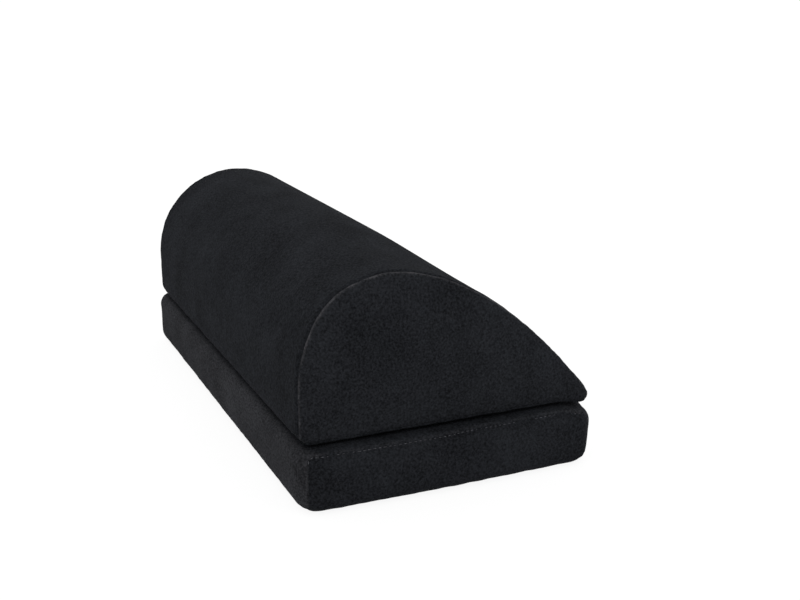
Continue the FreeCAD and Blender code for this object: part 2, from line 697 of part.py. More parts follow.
def past_seam(gap):
    """Maker of a cutter for what lies past an end panel's seam and over the underside's, by a gap."""
    def maker(label, backwards):
        start = "0 - top_length" if backwards else f"top_length / 2 - end_return + {gap}"
        return block(
            label, start, "0 - top_width", f"{TOP_HEM} + {gap}",
            f"top_length / 2 + end_return - {gap}", "2 * top_width", "2 * top_height")
    return maker


top_ends = half_ends("top", past_seam("seam_gap"))
top_openings = half_ends("top_wrap", past_seam("0"))
top_end_panels = [
    boolean("Part::Common", f"top_end_panel_{end}", top_cover, cutter) for end, cutter in top_ends.items()
]
top_hem_cutter = block(
    "top_hem_cutter", "0 - top_length", "0 - top_width", "base_height", "2 * top_length", "2 * top_width",
    f"{GAP} + top_seam_inset + seam_gap")
top_slot_cutter = block(
    "top_slot_cutter", f"0 - {slot_span(TOP_CHAIN)} / 2", "0 - top_width", TOP_HEM,
    slot_span(TOP_CHAIN), "top_width / 2 + nose_radius + nose_setback", "zip_slot")
top_wrap = boolean(
    "Part::Cut", "top_wrap_panel", top_cover, *top_openings.values(), top_hem_cutter, top_slot_cutter)
top_bottom = boolean(
    "Part::Common", "top_bottom_panel", top_cover,
    block("top_bottom_cutter", "0 - top_length", "0 - top_width", "base_height",
          "2 * top_length", "2 * top_width", f"{GAP} + top_seam_inset"))


def section_solid(inset, length):
    """The teardrop section run along the cushion, as a plain solid."""
    wire = Part.Wire([curve.toShape() for curve in teardrop(inset)])
    solid = Part.Face(wire).extrude(FreeCAD.Vector(0, 0, length))
    turn = FreeCAD.Rotation(FreeCAD.Vector(1, 1, 1), 120)
    solid.Placement = FreeCAD.Placement(FreeCAD.Vector(-length / 2, 0, value(TOP_FLOOR)), turn)
    return solid


def box_between(low, high):
    size = [b - a for a, b in zip(low, high)]
    return Part.makeBox(*size, FreeCAD.Vector(*low))


def bent_tapes():
    """Tapes that stand flat in the front edge's opening and turn in behind the wrap and the underside."""
    length = value(tape_span(TOP_CHAIN))
    thick = value("tape_thickness")
    face = value(TOP_TAPE)
    middle = value(TOP_ZIP_Z)
    floor = value(TOP_FLOOR)
    reach = value("teeth_half_width")
    mid_inset = value(f"{LINING} + tape_thickness / 2")
    across = face + thick / 2
    slope = slope_centre()
    before_nose = min(0, across - value(NOSE_Y))
    nose_drop = math.sqrt((value("nose_radius") - mid_inset) ** 2 - before_nose ** 2)
    slope_rise = math.sqrt((value("slope_radius") - mid_inset) ** 2 - (across - slope.x) ** 2)
    low_bend = floor + value("nose_radius") - nose_drop
    high_bend = floor + slope.y + slope_rise
    lining = section_solid(LINING, length).cut(section_solid(f"{LINING} + tape_thickness", length))
    shapes = {}
    for name, bend, flat_low, flat_high, lap_low, lap_high in (
        ("upper", high_bend, middle + reach, high_bend, high_bend, middle + value("tape_width")),
        ("lower", low_bend, low_bend, middle - reach, floor, low_bend + thick / 2),
    ):
        tucked = value("tape_width") - abs(middle - bend)
        flat = box_between((-length / 2, face, flat_low), (length / 2, face + thick, flat_high))
        zone = box_between((-length, face, lap_low), (length, across + tucked, lap_high))
        shapes[name] = flat.fuse(lining.common(zone)).removeSplitter()
    return shapes


top_tapes = []
for name, shape in bent_tapes().items():
    tape = doc.addObject("Part::Feature", f"top_zip_tape_{name}")
    tape.Shape = shape
    top_tapes.append(tape)

top_zip = zip_hardware("top", TOP_CHAIN, TOP_TAPE, TOP_ZIP_Z)

TOP_RELIEF = f"( {tape_span(TOP_CHAIN)} + 2 * zip_clearance )"
nose_relief = boolean(
    "Part::Cut", "top_nose_relief",
    block("top_nose_zone", f"0 - {TOP_RELIEF} / 2", "0 - top_width", "base_height",
          TOP_RELIEF, "top_width / 2 + 2 * tape_width", f"{GAP} + 2 * tape_width"),
    teardrop_prism("top_nose_core", f"( {LINING} + tape_thickness + zip_clearance )", "2 * top_length"))
top_foam = boolean(
    "Part::Cut", "top_foam_core", teardrop_form("top_foam_form", LINING, bevelled), nose_relief,
    block("top_slider_relief", f"0 - {TOP_RELIEF} / 2", "0 - top_width",
          f"{TOP_ZIP_Z} - zip_slot / 2 - slider_plate",
          TOP_RELIEF, f"{TOP_TAPE} + tape_thickness / 2 + {PLATE_FACE} + zip_clearance + top_width",
          "zip_slot + 2 * slider_plate"))
loops = strips("top_loop_strips", "base_height + strip_thickness")

# Each sub-part is checked and written to its own file

doc.recompute()
failed = [item.Label for item in doc.Objects if "Invalid" in item.State or "Error" in item.State]
if failed:
    raise RuntimeError(f"not built: {failed}")

pieces = [
    base_foam, base_wrap, *base_end_panels, base_grip, hooks, *base_tapes, *base_zip,
    top_foam, top_wrap, *top_end_panels, top_bottom, loops, *top_tapes, *top_zip,
]
os.makedirs("parts", exist_ok=True)
for piece in pieces:
    shape = piece.Shape
    if shape.isNull() or not shape.isValid() or not shape.Solids:
        raise RuntimeError(f"{piece.Label} has no valid solid")
for piece in pieces:
    piece.Shape.exportStep(f"parts/{piece.Label}.step")
    print(f"{piece.Label}: {len(piece.Shape.Solids)} solid(s), {piece.Shape.Volume / 1000:.2f} cm3")
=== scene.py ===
"""Looks of the two-tier footrest cushion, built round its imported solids. Sizes are in metres."""
import bpy
import bmesh
import math
import numpy as np
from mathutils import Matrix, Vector, geometry, noise


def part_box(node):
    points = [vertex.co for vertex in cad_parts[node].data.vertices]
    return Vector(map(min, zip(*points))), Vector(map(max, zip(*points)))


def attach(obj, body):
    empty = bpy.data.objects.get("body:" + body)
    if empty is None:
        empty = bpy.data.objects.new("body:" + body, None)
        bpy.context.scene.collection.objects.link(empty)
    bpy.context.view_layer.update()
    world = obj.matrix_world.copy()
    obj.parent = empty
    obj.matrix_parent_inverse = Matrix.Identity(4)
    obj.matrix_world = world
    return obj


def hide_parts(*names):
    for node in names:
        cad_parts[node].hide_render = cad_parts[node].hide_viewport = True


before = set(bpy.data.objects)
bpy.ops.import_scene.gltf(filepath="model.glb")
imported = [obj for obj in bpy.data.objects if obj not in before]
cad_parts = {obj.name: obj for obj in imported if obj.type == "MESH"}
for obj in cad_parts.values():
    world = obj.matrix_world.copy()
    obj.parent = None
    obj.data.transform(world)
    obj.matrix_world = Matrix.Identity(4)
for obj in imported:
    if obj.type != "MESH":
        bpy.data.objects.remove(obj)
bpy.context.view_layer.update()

# Slab cushion: foam block
# A slab of off-white open-cell polyurethane foam, sawn to shape and let in along its front for the zip.
# It goes into the cover through the zip and fills it.
MM = 0.001
WELD = 0.01 * MM
FOAM_VOXEL = 2.5 * MM
FOAM_EASING = 2
FOAM_GIVE = 1.2 * MM
LET_IN = 0.8 * MM
LET_IN_HALF = 8.5 * MM
LET_IN_END = 1 * MM
SAG = 4 * MM
SAG_FORWARD = (85 * MM, 111 * MM)
SAG_ALONG = (187 * MM, 203 * MM)


def deselect():
    bpy.ops.object.select_all(action="DESELECT")


def pick(piece):
    deselect()
    piece.select_set(True)
    bpy.context.view_layer.objects.active = piece


def copy_of(source, name):
    """A new piece with its own copy of a mesh, its loose faces merged."""
    piece = bpy.data.objects.new(name, source.data.copy())
    piece.data.name = name
    bpy.context.scene.collection.objects.link(piece)
    pick(piece)
    bpy.ops.object.mode_set(mode="EDIT")
    bpy.ops.mesh.select_all(action="SELECT")
    bpy.ops.mesh.remove_doubles(threshold=WELD)
    bpy.ops.object.mode_set(mode="OBJECT")
    return piece


def joined(name, parts):
    """Several pieces made one."""
    deselect()
    for part in parts:
        part.select_set(True)
    bpy.context.view_layer.objects.active = parts[0]
    bpy.ops.object.join()
    parts[0].name = name
    parts[0].data.name = name
    return parts[0]


def finished(piece, kind, **settings):
    """Adds a modifier to a piece and applies it."""
    pick(piece)
    modifier = piece.modifiers.new("work", kind)
    for name, setting in settings.items():
        setattr(modifier, name, setting)
    bpy.ops.object.modifier_apply(modifier="work")


def remeshed(piece, voxel, rounds):
    """Meshes a closed piece evenly and eases its edges."""
    pick(piece)
    piece.data.remesh_voxel_size = voxel
    bpy.ops.object.voxel_remesh()
    finished(piece, "SMOOTH", factor=0.5, iterations=rounds)


def linear(hex_colour):
    """sRGB hex to the linear colour that a shader reads."""
    channels = [int(hex_colour[i:i + 2], 16) / 255 for i in (1, 3, 5)]
    return [c / 12.92 if c <= 0.04045 else ((c + 0.055) / 1.055) ** 2.4 for c in channels] + [1.0]


def add(tree, kind, inputs=None, **settings):
    """A node with its settings; each input is a value or the socket that feeds it."""
    made = tree.nodes.new(kind)
    for name, setting in settings.items():
        setattr(made, name, setting)
    for name, source in (inputs or {}).items():
        if isinstance(source, bpy.types.NodeSocket):
            tree.links.new(source, made.inputs[name])
        else:
            made.inputs[name].default_value = source
    return made


def between(tree, share, first, second, **settings):
    """A colour that goes from the first to the second as the share rises."""
    inputs = {"Factor": share, "A": first, "B": second}
    return add(tree, "ShaderNodeMix", inputs, data_type="RGBA", **settings).outputs["Result"]


def blank(name):
    """A new material, its empty tree, and the place of a point on the piece."""
    material = bpy.data.materials.new(name)
    material.use_nodes = True
    tree = material.node_tree
    tree.nodes.clear()
    place = add(tree, "ShaderNodeTexCoord").outputs["Object"]
    return material, tree, place


def shown(tree, shader):
    add(tree, "ShaderNodeOutputMaterial", {"Surface": shader.outputs[0]})


def wear(piece, material):
    piece.data.materials.clear()
    piece.data.materials.append(material)


# Open-cell polyurethane foam: a dull cream sponge whose torn cells, about 1.2 mm wide, show as fine pits.
foam, tree, place = blank("Open-cell polyurethane foam, cream")
cells = add(tree, "ShaderNodeTexVoronoi", {"Vector": place, "Scale": 1 / 0.0012})
ageing = add(tree, "ShaderNodeTexNoise", {"Vector": place, "Scale": 1 / 0.060, "Detail": 3.0})
pores = between(tree, cells.outputs["Distance"], linear("#b9ae92"), linear("#e6dfca"))
cream = between(tree, ageing.outputs["Fac"], pores, linear("#d8c99f"))
pits = add(
    tree, "ShaderNodeBump", {"Height": cells.outputs["Distance"], "Strength": 0.6, "Distance": 0.4 * MM})
shown(tree, add(
    tree, "ShaderNodeBsdfPrincipled",
    {"Base Color": cream, "Roughness": 0.95, "Specular IOR Level": 0.2,
     "Normal": pits.outputs["Normal"]}))


def points_of(piece):
    points = np.empty(len(piece.data.vertices) * 3, dtype=np.float32)
    piece.data.vertices.foreach_get("co", points)
    return points.reshape(-1, 3).astype(float)


def set_points(piece, points):
    piece.data.vertices.foreach_set("co", points.astype(np.float32).ravel())
    piece.data.update()


def normals_of(piece):
    normals = np.empty(len(piece.data.vertices) * 3, dtype=np.float32)
    piece.data.vertex_normals.foreach_get("vector", normals)
    return normals.reshape(-1, 3).astype(float)


def zip_height(cushion):
    """Height of the middle of a cushion's zip."""
    return sum(corner.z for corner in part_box(f"{cushion}_zip_slider")) / 2


def block(cushion, node):
    """A foam block, pressed in a little all round by its tight cover and let in behind the zip."""
    piece = copy_of(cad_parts[node], f"{cushion}_foam")
    remeshed(piece, FOAM_VOXEL, FOAM_EASING)
    points = points_of(piece) - FOAM_GIVE * normals_of(piece)
    floor_of_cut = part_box(f"{cushion}_zip_slider")[1].y + LET_IN
    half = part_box(f"{cushion}_zip_tape_upper")[1].x + LET_IN_END
    behind = (
        (points[:, 1] < floor_of_cut)
        & (np.abs(points[:, 0]) < half)
        & (np.abs(points[:, 2] - zip_height(cushion)) < LET_IN_HALF)
    )
    points[behind, 1] = floor_of_cut
    set_points(piece, points)
    wear(piece, foam)
    return piece


def eased(value, start, end):
    """0 before the start, 1 past the end, with a smooth rise between them."""
    share = np.clip((value - start) / (end - start), 0, 1)
    return share ** 2 * (3 - 2 * share)


def corner_of(points):
    """1 at the front corners, which no zip stiffens, and 0 away from them."""
    return eased(-points[:, 1], *SAG_FORWARD) * eased(np.abs(points[:, 0]), *SAG_ALONG)


base_foam = block("base", "base_foam_slab")
foam_low, foam_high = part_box("base_foam_slab")
foam_points = points_of(base_foam)
foam_points[:, 2] -= SAG * corner_of(foam_points) * eased(foam_points[:, 2], foam_low.z, foam_high.z)
set_points(base_foam, foam_points)
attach(base_foam, "base")
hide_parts("base_foam_slab")

# Slab cushion: filled cover, before its panels are cut
# The sewn cover takes the block's shape, pulls in at its seams and stands out a little between them. It is
# cast as one closed skin and blown up from inside, held at its seams, its flat faces and its zip.
FORM_VOXEL = 4.5 * MM
FORM_EASING = 4
FILL_PRESSURE = 4.0
FILL_FRAMES = 20
FILL_EASING = 6
BASE_SWELL = 1.2 * MM
HELD_TOP = 0.6 * MM
HELD_FRONT = 6 * MM
HELD_SEAM = 3 * MM
DOT_HEIGHT = 0.8 * MM
END_ZONE = 195 * MM
END_CORNER = 4 * MM
FRONT_LEAN = 0.06
FRONT_ZONE = 20 * MM
BACK_EDGE = 4 * MM
CORNER_GAP = math.sqrt(2) - 1


def sides_of(piece):
    """Start and end of each edge of a piece, as point numbers."""
    edges = np.empty(len(piece.data.edges) * 2, dtype=np.int32)
    piece.data.edges.foreach_get("vertices", edges)
    return edges.reshape(-1, 2).T


def cast_form(name, nodes):
    """One closed, evenly meshed skin round the panels of a cover."""
    hull = joined(f"{name}_hull", [copy_of(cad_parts[node], node) for node in nodes])
    bpy.ops.object.mode_set(mode="EDIT")
    bpy.ops.mesh.select_all(action="SELECT")
    bpy.ops.mesh.convex_hull()
    bpy.ops.object.mode_set(mode="OBJECT")
    form = copy_of(hull, name)
    remeshed(form, FORM_VOXEL, FORM_EASING)
    finished(form, "SHRINKWRAP", target=hull, wrap_method="NEAREST_SURFACEPOINT")
    bpy.data.objects.remove(hull)
    return form


def neighbour_mean(piece, values, rounds):
    """Evens out a value per point over the piece's edges."""
    start, end = sides_of(piece)
    degree = np.bincount(np.concatenate((start, end)), minlength=len(values)).reshape(-1, 1)
    for _ in range(rounds):
        total = np.zeros_like(values)
        np.add.at(total, start, values[end])
        np.add.at(total, end, values[start])
        values = 0.5 * values + 0.5 * total / degree
    return values


def fill(form, held, swell):
    """Blows the cover up from inside; a point moves out by the swell at most."""
    rest = points_of(form)
    group = form.vertex_groups.new(name="held")
    group.add([int(index) for index in np.flatnonzero(held)], 1.0, "REPLACE")
    pick(form)
    cloth = form.modifiers.new("fill", "CLOTH")
    cloth.settings.use_pressure = True
    cloth.settings.uniform_pressure_force = FILL_PRESSURE
    cloth.settings.effector_weights.gravity = 0.0
    cloth.settings.vertex_group_mass = "held"
    for step in range(1, FILL_FRAMES + 1):
        bpy.context.scene.frame_set(step)
    bpy.ops.object.modifier_apply(modifier="fill")
    bpy.context.scene.frame_set(1)
    moved = neighbour_mean(form, points_of(form) - rest, FILL_EASING)
    reach = np.linalg.norm(moved, axis=1)
    most = np.percentile(reach, 99)
    set_points(form, rest + moved * (swell / max(most, swell)))
    form.vertex_groups.clear()


base_form = cast_form(
    "base_form", ["base_wrap_panel", "base_end_panel_left", "base_end_panel_right", "base_grip_panel"])
base_low, base_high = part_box("base_wrap_panel")
end_panel_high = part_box("base_end_panel_left")[1]
base_zip_z = zip_height("base")


def edge_bend(form):
    """0 on a cushion's flat faces and 1 on the sharpest part of its rolled upper and lower edges."""
    normals = normals_of(form)
    return (np.hypot(normals[:, 0], normals[:, 1]) + np.abs(normals[:, 2]) - 1) / CORNER_GAP


base_points = points_of(base_form)
at_back = (base_points[:, 1] > 0) & (base_points[:, 2] > base_zip_z)
stuffed = BACK_EDGE * CORNER_GAP * edge_bend(base_form) * at_back
base_points += normals_of(base_form) * stuffed[:, None]
base_points[:, 2] = np.maximum(base_points[:, 2], DOT_HEIGHT)
front = np.clip(1 - (base_points[:, 1] - base_low.y) / FRONT_ZONE, 0, 1)
base_points[:, 1] -= FRONT_LEAN * front * (base_points[:, 2] - base_zip_z)
base_points[:, 2] -= SAG * corner_of(base_points) * eased(base_points[:, 2], foam_low.z, foam_high.z)
set_points(base_form, base_points)


def base_end_seam(points):
    """Distance to the seam of the slab's end panels, outwards; far away from the ends it is large."""
    across = np.abs(points[:, 1]) - (end_panel_high.y - END_CORNER)
    hung = SAG * corner_of(points)
    height = points[:, 2] + hung * eased(points[:, 2] + hung, foam_low.z, foam_high.z)
    up = height - (end_panel_high.z - END_CORNER)
    past = np.hypot(np.maximum(across, 0), np.maximum(up, 0)) + np.minimum(np.maximum(across, up), 0)
    return np.where(np.abs(points[:, 0]) > END_ZONE, past - END_CORNER, 1.0)


base_held = (
    (base_points[:, 2] > base_high.z - HELD_TOP)
    | (base_points[:, 2] < base_low.z)
    | (base_points[:, 1] < base_low.y + HELD_FRONT)
    | (np.abs(base_end_seam(base_points)) < HELD_SEAM)
)
fill(base_form, base_held, BASE_SWELL)
finished(base_form, "SUBSURF", levels=1, render_levels=1)

# Slab cushion: wrap panel
# Short-pile black polyester plush, cut as one piece that goes over the top and both long sides and rolls
# onto the ends, where it is sewn to the end panels. Its front has the zip's opening.
CLOTH = 1.5 * MM
SNAP = 0.15 * MM
SEAM_DEPTH = 1.4 * MM
HEM_DEPTH = 0.5 * MM
SEAM_WIDTH = 1.6 * MM
SEAM_ZONE = 5 * MM
UNDERSIDE = -0.9
PUCKER = 0.45 * MM
PUCKER_PITCH = 11 * MM
PUCKER_ZONE = 16 * MM
PUCKER_FADE = 6 * MM
FINE_PUCKER, FINE_COUNT = 0.6, 2.1
SLOT_HALF = 5.5 * MM
SLOT_DEPTH = 10 * MM
TAPE_TAIL = 6 * MM
RIM_WIDTH = 0.9 * MM
RIM_PLACE = 1.6 * MM
RIM_PATCH = 9 * MM
RIM_MEAN, RIM_FAINT = 0.8, 0.02
# Painted sheen on the slab's long sides, and a painted highlight line beside its end seams.
SIDE_SHEEN, SEAM_HIGHLIGHT = 0.6, 0.25
SIDE_GAIN, SIDE_OFFSET = 2.4, 0.2


def refine(form, distance):
    """Halves the faces near the seams, so that their rolled edges have enough points; undersides stay."""
    bm = bmesh.new()
    bm.from_mesh(form.data)
    bm.verts.ensure_lookup_table()
    near = np.abs(distance) < SEAM_ZONE
    faces = [
        face for face in bm.faces
        if face.normal.z > UNDERSIDE and any(near[vert.index] for vert in face.verts)]
    edges = {edge for face in faces for edge in face.edges}
    bmesh.ops.subdivide_edges(bm, edges=list(edges), cuts=1, use_grid_fill=True, smooth=0.0)
    bm.to_mesh(form.data)
    bm.free()


def draw_in(form, distance, depth):
    """Pulls the cover in along its seams, with small puckers across them."""
    points = points_of(form)
    valley = depth * np.exp(-((distance / SEAM_WIDTH) ** 2))
    for index in np.flatnonzero(np.abs(distance) < PUCKER_ZONE):
        spot = Vector(points[index]) / PUCKER_PITCH
        wave = noise.noise(spot) + FINE_PUCKER * noise.noise(spot * FINE_COUNT)
        valley[index] += PUCKER * wave * math.exp(-abs(distance[index]) / PUCKER_FADE)
    set_points(form, points - normals_of(form) * valley[:, None])


def cut_panel(form, name, limits, where=lambda centre: True):
    """A panel of the cover: what lies inside every limit, cut along its seams and given its thickness."""
    panel = copy_of(form, name)
    bm = bmesh.new()
    bm.from_mesh(panel.data)
    for limit in limits:
        past = limit(np.array([vert.co for vert in bm.verts]))
        level = dict(zip(bm.verts, np.where(np.abs(past) < SNAP, 0.0, past)))
        seam = [vert for vert in bm.verts if level[vert] == 0.0]
        for edge in [e for e in bm.edges if level[e.verts[0]] * level[e.verts[1]] < 0]:
            first, second = edge.verts
            share = level[first] / (level[first] - level[second])
            _, vert = bmesh.utils.edge_split(edge, first, share)
            level[vert] = 0.0
            seam.append(vert)
        bmesh.ops.connect_verts(bm, verts=seam)
        gone = [face for face in bm.faces if any(level[vert] > 0 for vert in face.verts)]
        bmesh.ops.delete(bm, geom=gone, context="FACES")
    apart = [face for face in bm.faces if not where(face.calc_center_median())]
    bmesh.ops.delete(bm, geom=apart, context="FACES")
    bmesh.ops.remove_doubles(bm, verts=bm.verts, dist=WELD)
    bm.to_mesh(panel.data)
    bm.free()
    finished(panel, "SOLIDIFY", thickness=CLOTH, offset=-1.0)
    pick(panel)
    bpy.ops.object.shade_smooth()
    return panel


def in_slot(points, half_length, middle, front):
    """How far each point lies inside a zip's opening."""
    inside = np.minimum(half_length - np.abs(points[:, 0]), SLOT_HALF - np.abs(points[:, 2] - middle))
    return np.where(points[:, 1] < front, inside, -1.0)


def paint_sheen(piece, panel_sheen, rim_sheen, from_rim):
    """Stores painted sheen per point: the panel's own share, and a painted highlight line along the rolled
    edge at a seam.
    """
    rim = rim_sheen * np.exp(-((from_rim / RIM_WIDTH) ** 2))
    points = points_of(piece)
    for index in np.flatnonzero(rim > RIM_FAINT):
        rim[index] *= RIM_MEAN + noise.noise(Vector(points[index]) / RIM_PATCH)
    layer = piece.data.attributes.new("painted_sheen", "FLOAT", "POINT")
    layer.data.foreach_set("value", (panel_sheen + rim).astype(np.float32))


# Polyester plush, knitted, sheared and dyed black: the pile drinks light face on and shines at a slant. Its
# brushing leaves soft clouds some 45 mm across, and tufts of about 1.7 mm and their tips make its grain. Its
# colour mixes a shaded and a lit copy by painted sheen stored per point, greyer on lit panels and seam edges.
plush, tree, place = blank("Sheared polyester plush, black")
clouds = add(
    tree, "ShaderNodeTexNoise", {"Vector": place, "Scale": 1 / 0.045, "Detail": 3.0, "Roughness": 0.6})
tufts = add(
    tree, "ShaderNodeTexNoise", {"Vector": place, "Scale": 1 / 0.0017, "Detail": 2.0, "Roughness": 0.7})
tips = add(tree, "ShaderNodeTexNoise", {"Vector": place, "Scale": 1 / 0.0007, "Detail": 1.0})
shade = add(tree, "ShaderNodeMath", {0: clouds.outputs["Fac"], 1: 0.3}, operation="MULTIPLY")
shade = add(
    tree, "ShaderNodeMath", {0: tufts.outputs["Fac"], 1: 0.7, 2: shade.outputs[0]}, operation="MULTIPLY_ADD")
spread = add(tree, "ShaderNodeMapRange", {"Value": shade.outputs[0], "From Min": 0.36, "From Max": 0.64})
# Painted shade and painted sheen: a darker copy of the colour away from the light and a greyer copy towards
# it, mixed by the sheen stored on each point.
away = between(tree, spread.outputs["Result"], linear("#121315"), linear("#292b2f"))
towards = between(tree, spread.outputs["Result"], linear("#232325"), linear("#464649"))
painted_sheen = add(tree, "ShaderNodeAttribute", attribute_name="painted_sheen")
pile_colour = between(tree, painted_sheen.outputs["Fac"], away, towards, clamp_factor=False)
tuft_bump = add(
    tree, "ShaderNodeBump", {"Height": tufts.outputs["Fac"], "Strength": 0.5, "Distance": 0.8 * MM})
tip_bump = add(
    tree, "ShaderNodeBump",
    {"Height": tips.outputs["Fac"], "Strength": 0.4, "Distance": 0.3 * MM,
     "Normal": tuft_bump.outputs["Normal"]})
shown(tree, add(
    tree, "ShaderNodeBsdfPrincipled",
    {"Base Color": pile_colour, "Roughness": 0.95, "Specular IOR Level": 0.02,
     "Sheen Weight": 0.01, "Sheen Roughness": 0.5, "Sheen Tint": linear("#9a9aa2"),
     "Normal": tip_bump.outputs["Normal"]}))

base_hem = base_low.z


def base_seams(points):
    """Distance to the nearest seam of the slab's cover."""
    ends = base_end_seam(points)
    hem = points[:, 2] - base_hem
    return np.where(np.abs(hem) < np.abs(ends), hem, ends)


refine(base_form, base_seams(points_of(base_form)))
at_hem = np.abs(points_of(base_form)[:, 2] - base_hem) < SEAM_ZONE
draw_in(base_form, base_seams(points_of(base_form)), np.where(at_hem, HEM_DEPTH, SEAM_DEPTH))
base_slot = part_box("base_zip_tape_upper")[1].x - TAPE_TAIL
base_wrap = cut_panel(
    base_form, "base_wrap",
    [
        lambda p: np.where(np.abs(p[:, 0]) > END_ZONE, -base_end_seam(p), -1.0),
        lambda p: base_hem - p[:, 2],
        lambda p: in_slot(p, base_slot, base_zip_z, base_low.y + SLOT_DEPTH),
    ],
)
# Painted sheen: the long sides are painted greyer, and a painted highlight line runs along the rolled edge
# beside each end seam.
side_sheen = np.clip(np.abs(normals_of(base_wrap)[:, 1]) * SIDE_GAIN - SIDE_OFFSET, 0, 1)
paint_sheen(base_wrap, SIDE_SHEEN * side_sheen, SEAM_HIGHLIGHT, base_end_seam(points_of(base_wrap)) - RIM_PLACE)
wear(base_wrap, plush)
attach(base_wrap, "base")
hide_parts("base_wrap_panel")

# Slab cushion: end panels
# Two rounded strips of the same plush, sewn into the open ends of the wrap with a plain seam.
BASE_END_SHEEN = 0.06
for end, way in (("left", -1), ("right", 1)):
    panel = cut_panel(
        base_form, f"base_end_{end}",
        [base_end_seam, lambda p: base_hem - p[:, 2]],
        lambda centre: centre.x * way > 0,
    )
    # Painted sheen: the end panels are painted a little greyer all over.
    paint_sheen(panel, BASE_END_SHEEN, 0.0, base_end_seam(points_of(panel)))
    wear(panel, plush)
    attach(panel, "base")
    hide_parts(f"base_end_panel_{end}")

# Slab cushion: end seams' thread
# Spun polyester thread in the seam between wrap and end panel, where the pull of the filled cover opens the
# seam a little along its top and lays its stitches bare as a row of short dashes.
STITCH_PITCH = 3.8 * MM
STITCH_LENGTH = 2.7 * MM
STITCH_WIDTH = 0.6 * MM
STITCH_SINK = 0.3 * MM
STITCH_PATCH = 12 * MM
SEAM_TOP = 6 * MM


def seam_path(form, level, keep):
    """Points and outward directions along a seam, in order round the cushion's end."""
    points, normals = points_of(form), normals_of(form)
    start, end = sides_of(form)
    cross = (level[start] * level[end] < 0) & keep(points[start])
    start, end = start[cross], end[cross]
    share = (level[start] / (level[start] - level[end]))[:, None]
    spots = points[start] + share * (points[end] - points[start])
    outs = normals[start] + share * (normals[end] - normals[start])
    middle = spots.mean(axis=0)
    order = np.argsort(np.arctan2(spots[:, 2] - middle[2], spots[:, 1] - middle[1]))
    return spots[order], outs[order]


def sew(name, runs):
    """Stitches along runs of points: one is modelled as a flattened bead and laid along each run."""
    deselect()
    bpy.ops.mesh.primitive_uv_sphere_add(segments=6, ring_count=4, radius=0.5, rotation=(0, math.pi / 2, 0))
    bead = bpy.context.object
    bpy.ops.object.transform_apply(location=True, rotation=True, scale=True)
    shape = points_of(bead) * (STITCH_LENGTH, STITCH_WIDTH, STITCH_WIDTH)
    faces = [list(face.vertices) for face in bead.data.polygons]
    bpy.data.objects.remove(bead)
    corners, skins = [], []
    for spots, outs in runs:
        travel = np.concatenate(([0.0], np.cumsum(np.linalg.norm(np.diff(spots, axis=0), axis=1))))
        marks = np.arange(STITCH_PITCH / 2, travel[-1], STITCH_PITCH)
        for mark in marks:
            here, before, after = (
                Vector([np.interp(mark + step, travel, spots[:, axis]) for axis in range(3)])
                for step in (0.0, -STITCH_PITCH / 2, STITCH_PITCH / 2))
            up = Vector([np.interp(mark, travel, outs[:, axis]) for axis in range(3)]).normalized()
            along = (after - before).normalized()
            here -= up * STITCH_SINK * (0.5 + noise.noise(here / STITCH_PATCH))
            across = up.cross(along).normalized()
            up = along.cross(across)
            skins += [[corner + len(corners) for corner in face] for face in faces]
            corners += [here + along * x + across * y + up * z for x, y, z in shape]
    mesh = bpy.data.meshes.new(name)
    mesh.from_pydata([tuple(corner) for corner in corners], [], skins)
    piece = bpy.data.objects.new(name, mesh)
    bpy.context.scene.collection.objects.link(piece)
    pick(piece)
    bpy.ops.object.shade_smooth()
    return piece


# Spun polyester thread: two plies twisted, matt with a faint lustre, its twist about 1.6 mm long.
thread, tree, place = blank("Spun polyester thread, charcoal")
twist = add(
    tree, "ShaderNodeTexWave", {"Vector": place, "Scale": 1 / 0.0045, "Distortion": 2.0},
    bands_direction="DIAGONAL")
strands = between(tree, twist.outputs["Fac"], linear("#2c2c30"), linear("#4c4c52"))
plies = add(tree, "ShaderNodeBump", {"Height": twist.outputs["Fac"], "Strength": 0.5, "Distance": 0.1 * MM})
shown(tree, add(
    tree, "ShaderNodeBsdfPrincipled",
    {"Base Color": strands, "Roughness": 0.7, "Normal": plies.outputs["Normal"]}))

base_level = base_end_seam(points_of(base_form))


def along_top(way):
    """Picks the upper stretch of the seam at one end."""
    return lambda p: (p[:, 0] * way > END_ZONE) & (p[:, 2] > end_panel_high.z - SEAM_TOP)


base_thread = sew("base_end_stitches", [seam_path(base_form, base_level, along_top(way)) for way in (-1, 1)])
wear(base_thread, thread)
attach(base_thread, "base")

# Slab cushion: grip panel
# The underside, a plain black knit printed with rubber dots that keep the cushion from sliding. Its edge is
# turned up and sewn to the wrap and the end panels.
DOT_PITCH = 44 * MM
DOT_RADIUS = 3 * MM
DOTS_ALONG, DOTS_ACROSS = 9, 5

# Polyester knit, black: rows of loops about 2 mm apart, flat and dull.
knit, tree, place = blank("Polyester knit, black")
rows = add(
    tree, "ShaderNodeTexWave",
    {"Vector": place, "Scale": 1 / 0.0063, "Distortion": 3.0, "Detail Scale": 4.0})
fibres = add(tree, "ShaderNodeTexNoise", {"Vector": place, "Scale": 1 / 0.0016, "Detail": 2.0})
loops_shade = add(
    tree, "ShaderNodeMath", {0: rows.outputs["Fac"], 1: fibres.outputs["Fac"]}, operation="MULTIPLY")
knit_colour = between(tree, loops_shade.outputs[0], linear("#17171a"), linear("#34343a"))
ribs = add(tree, "ShaderNodeBump", {"Height": loops_shade.outputs[0], "Strength": 0.4, "Distance": 0.3 * MM})
shown(tree, add(
    tree, "ShaderNodeBsdfPrincipled",
    {"Base Color": knit_colour, "Roughness": 0.9, "Specular IOR Level": 0.2,
     "Normal": ribs.outputs["Normal"]}))

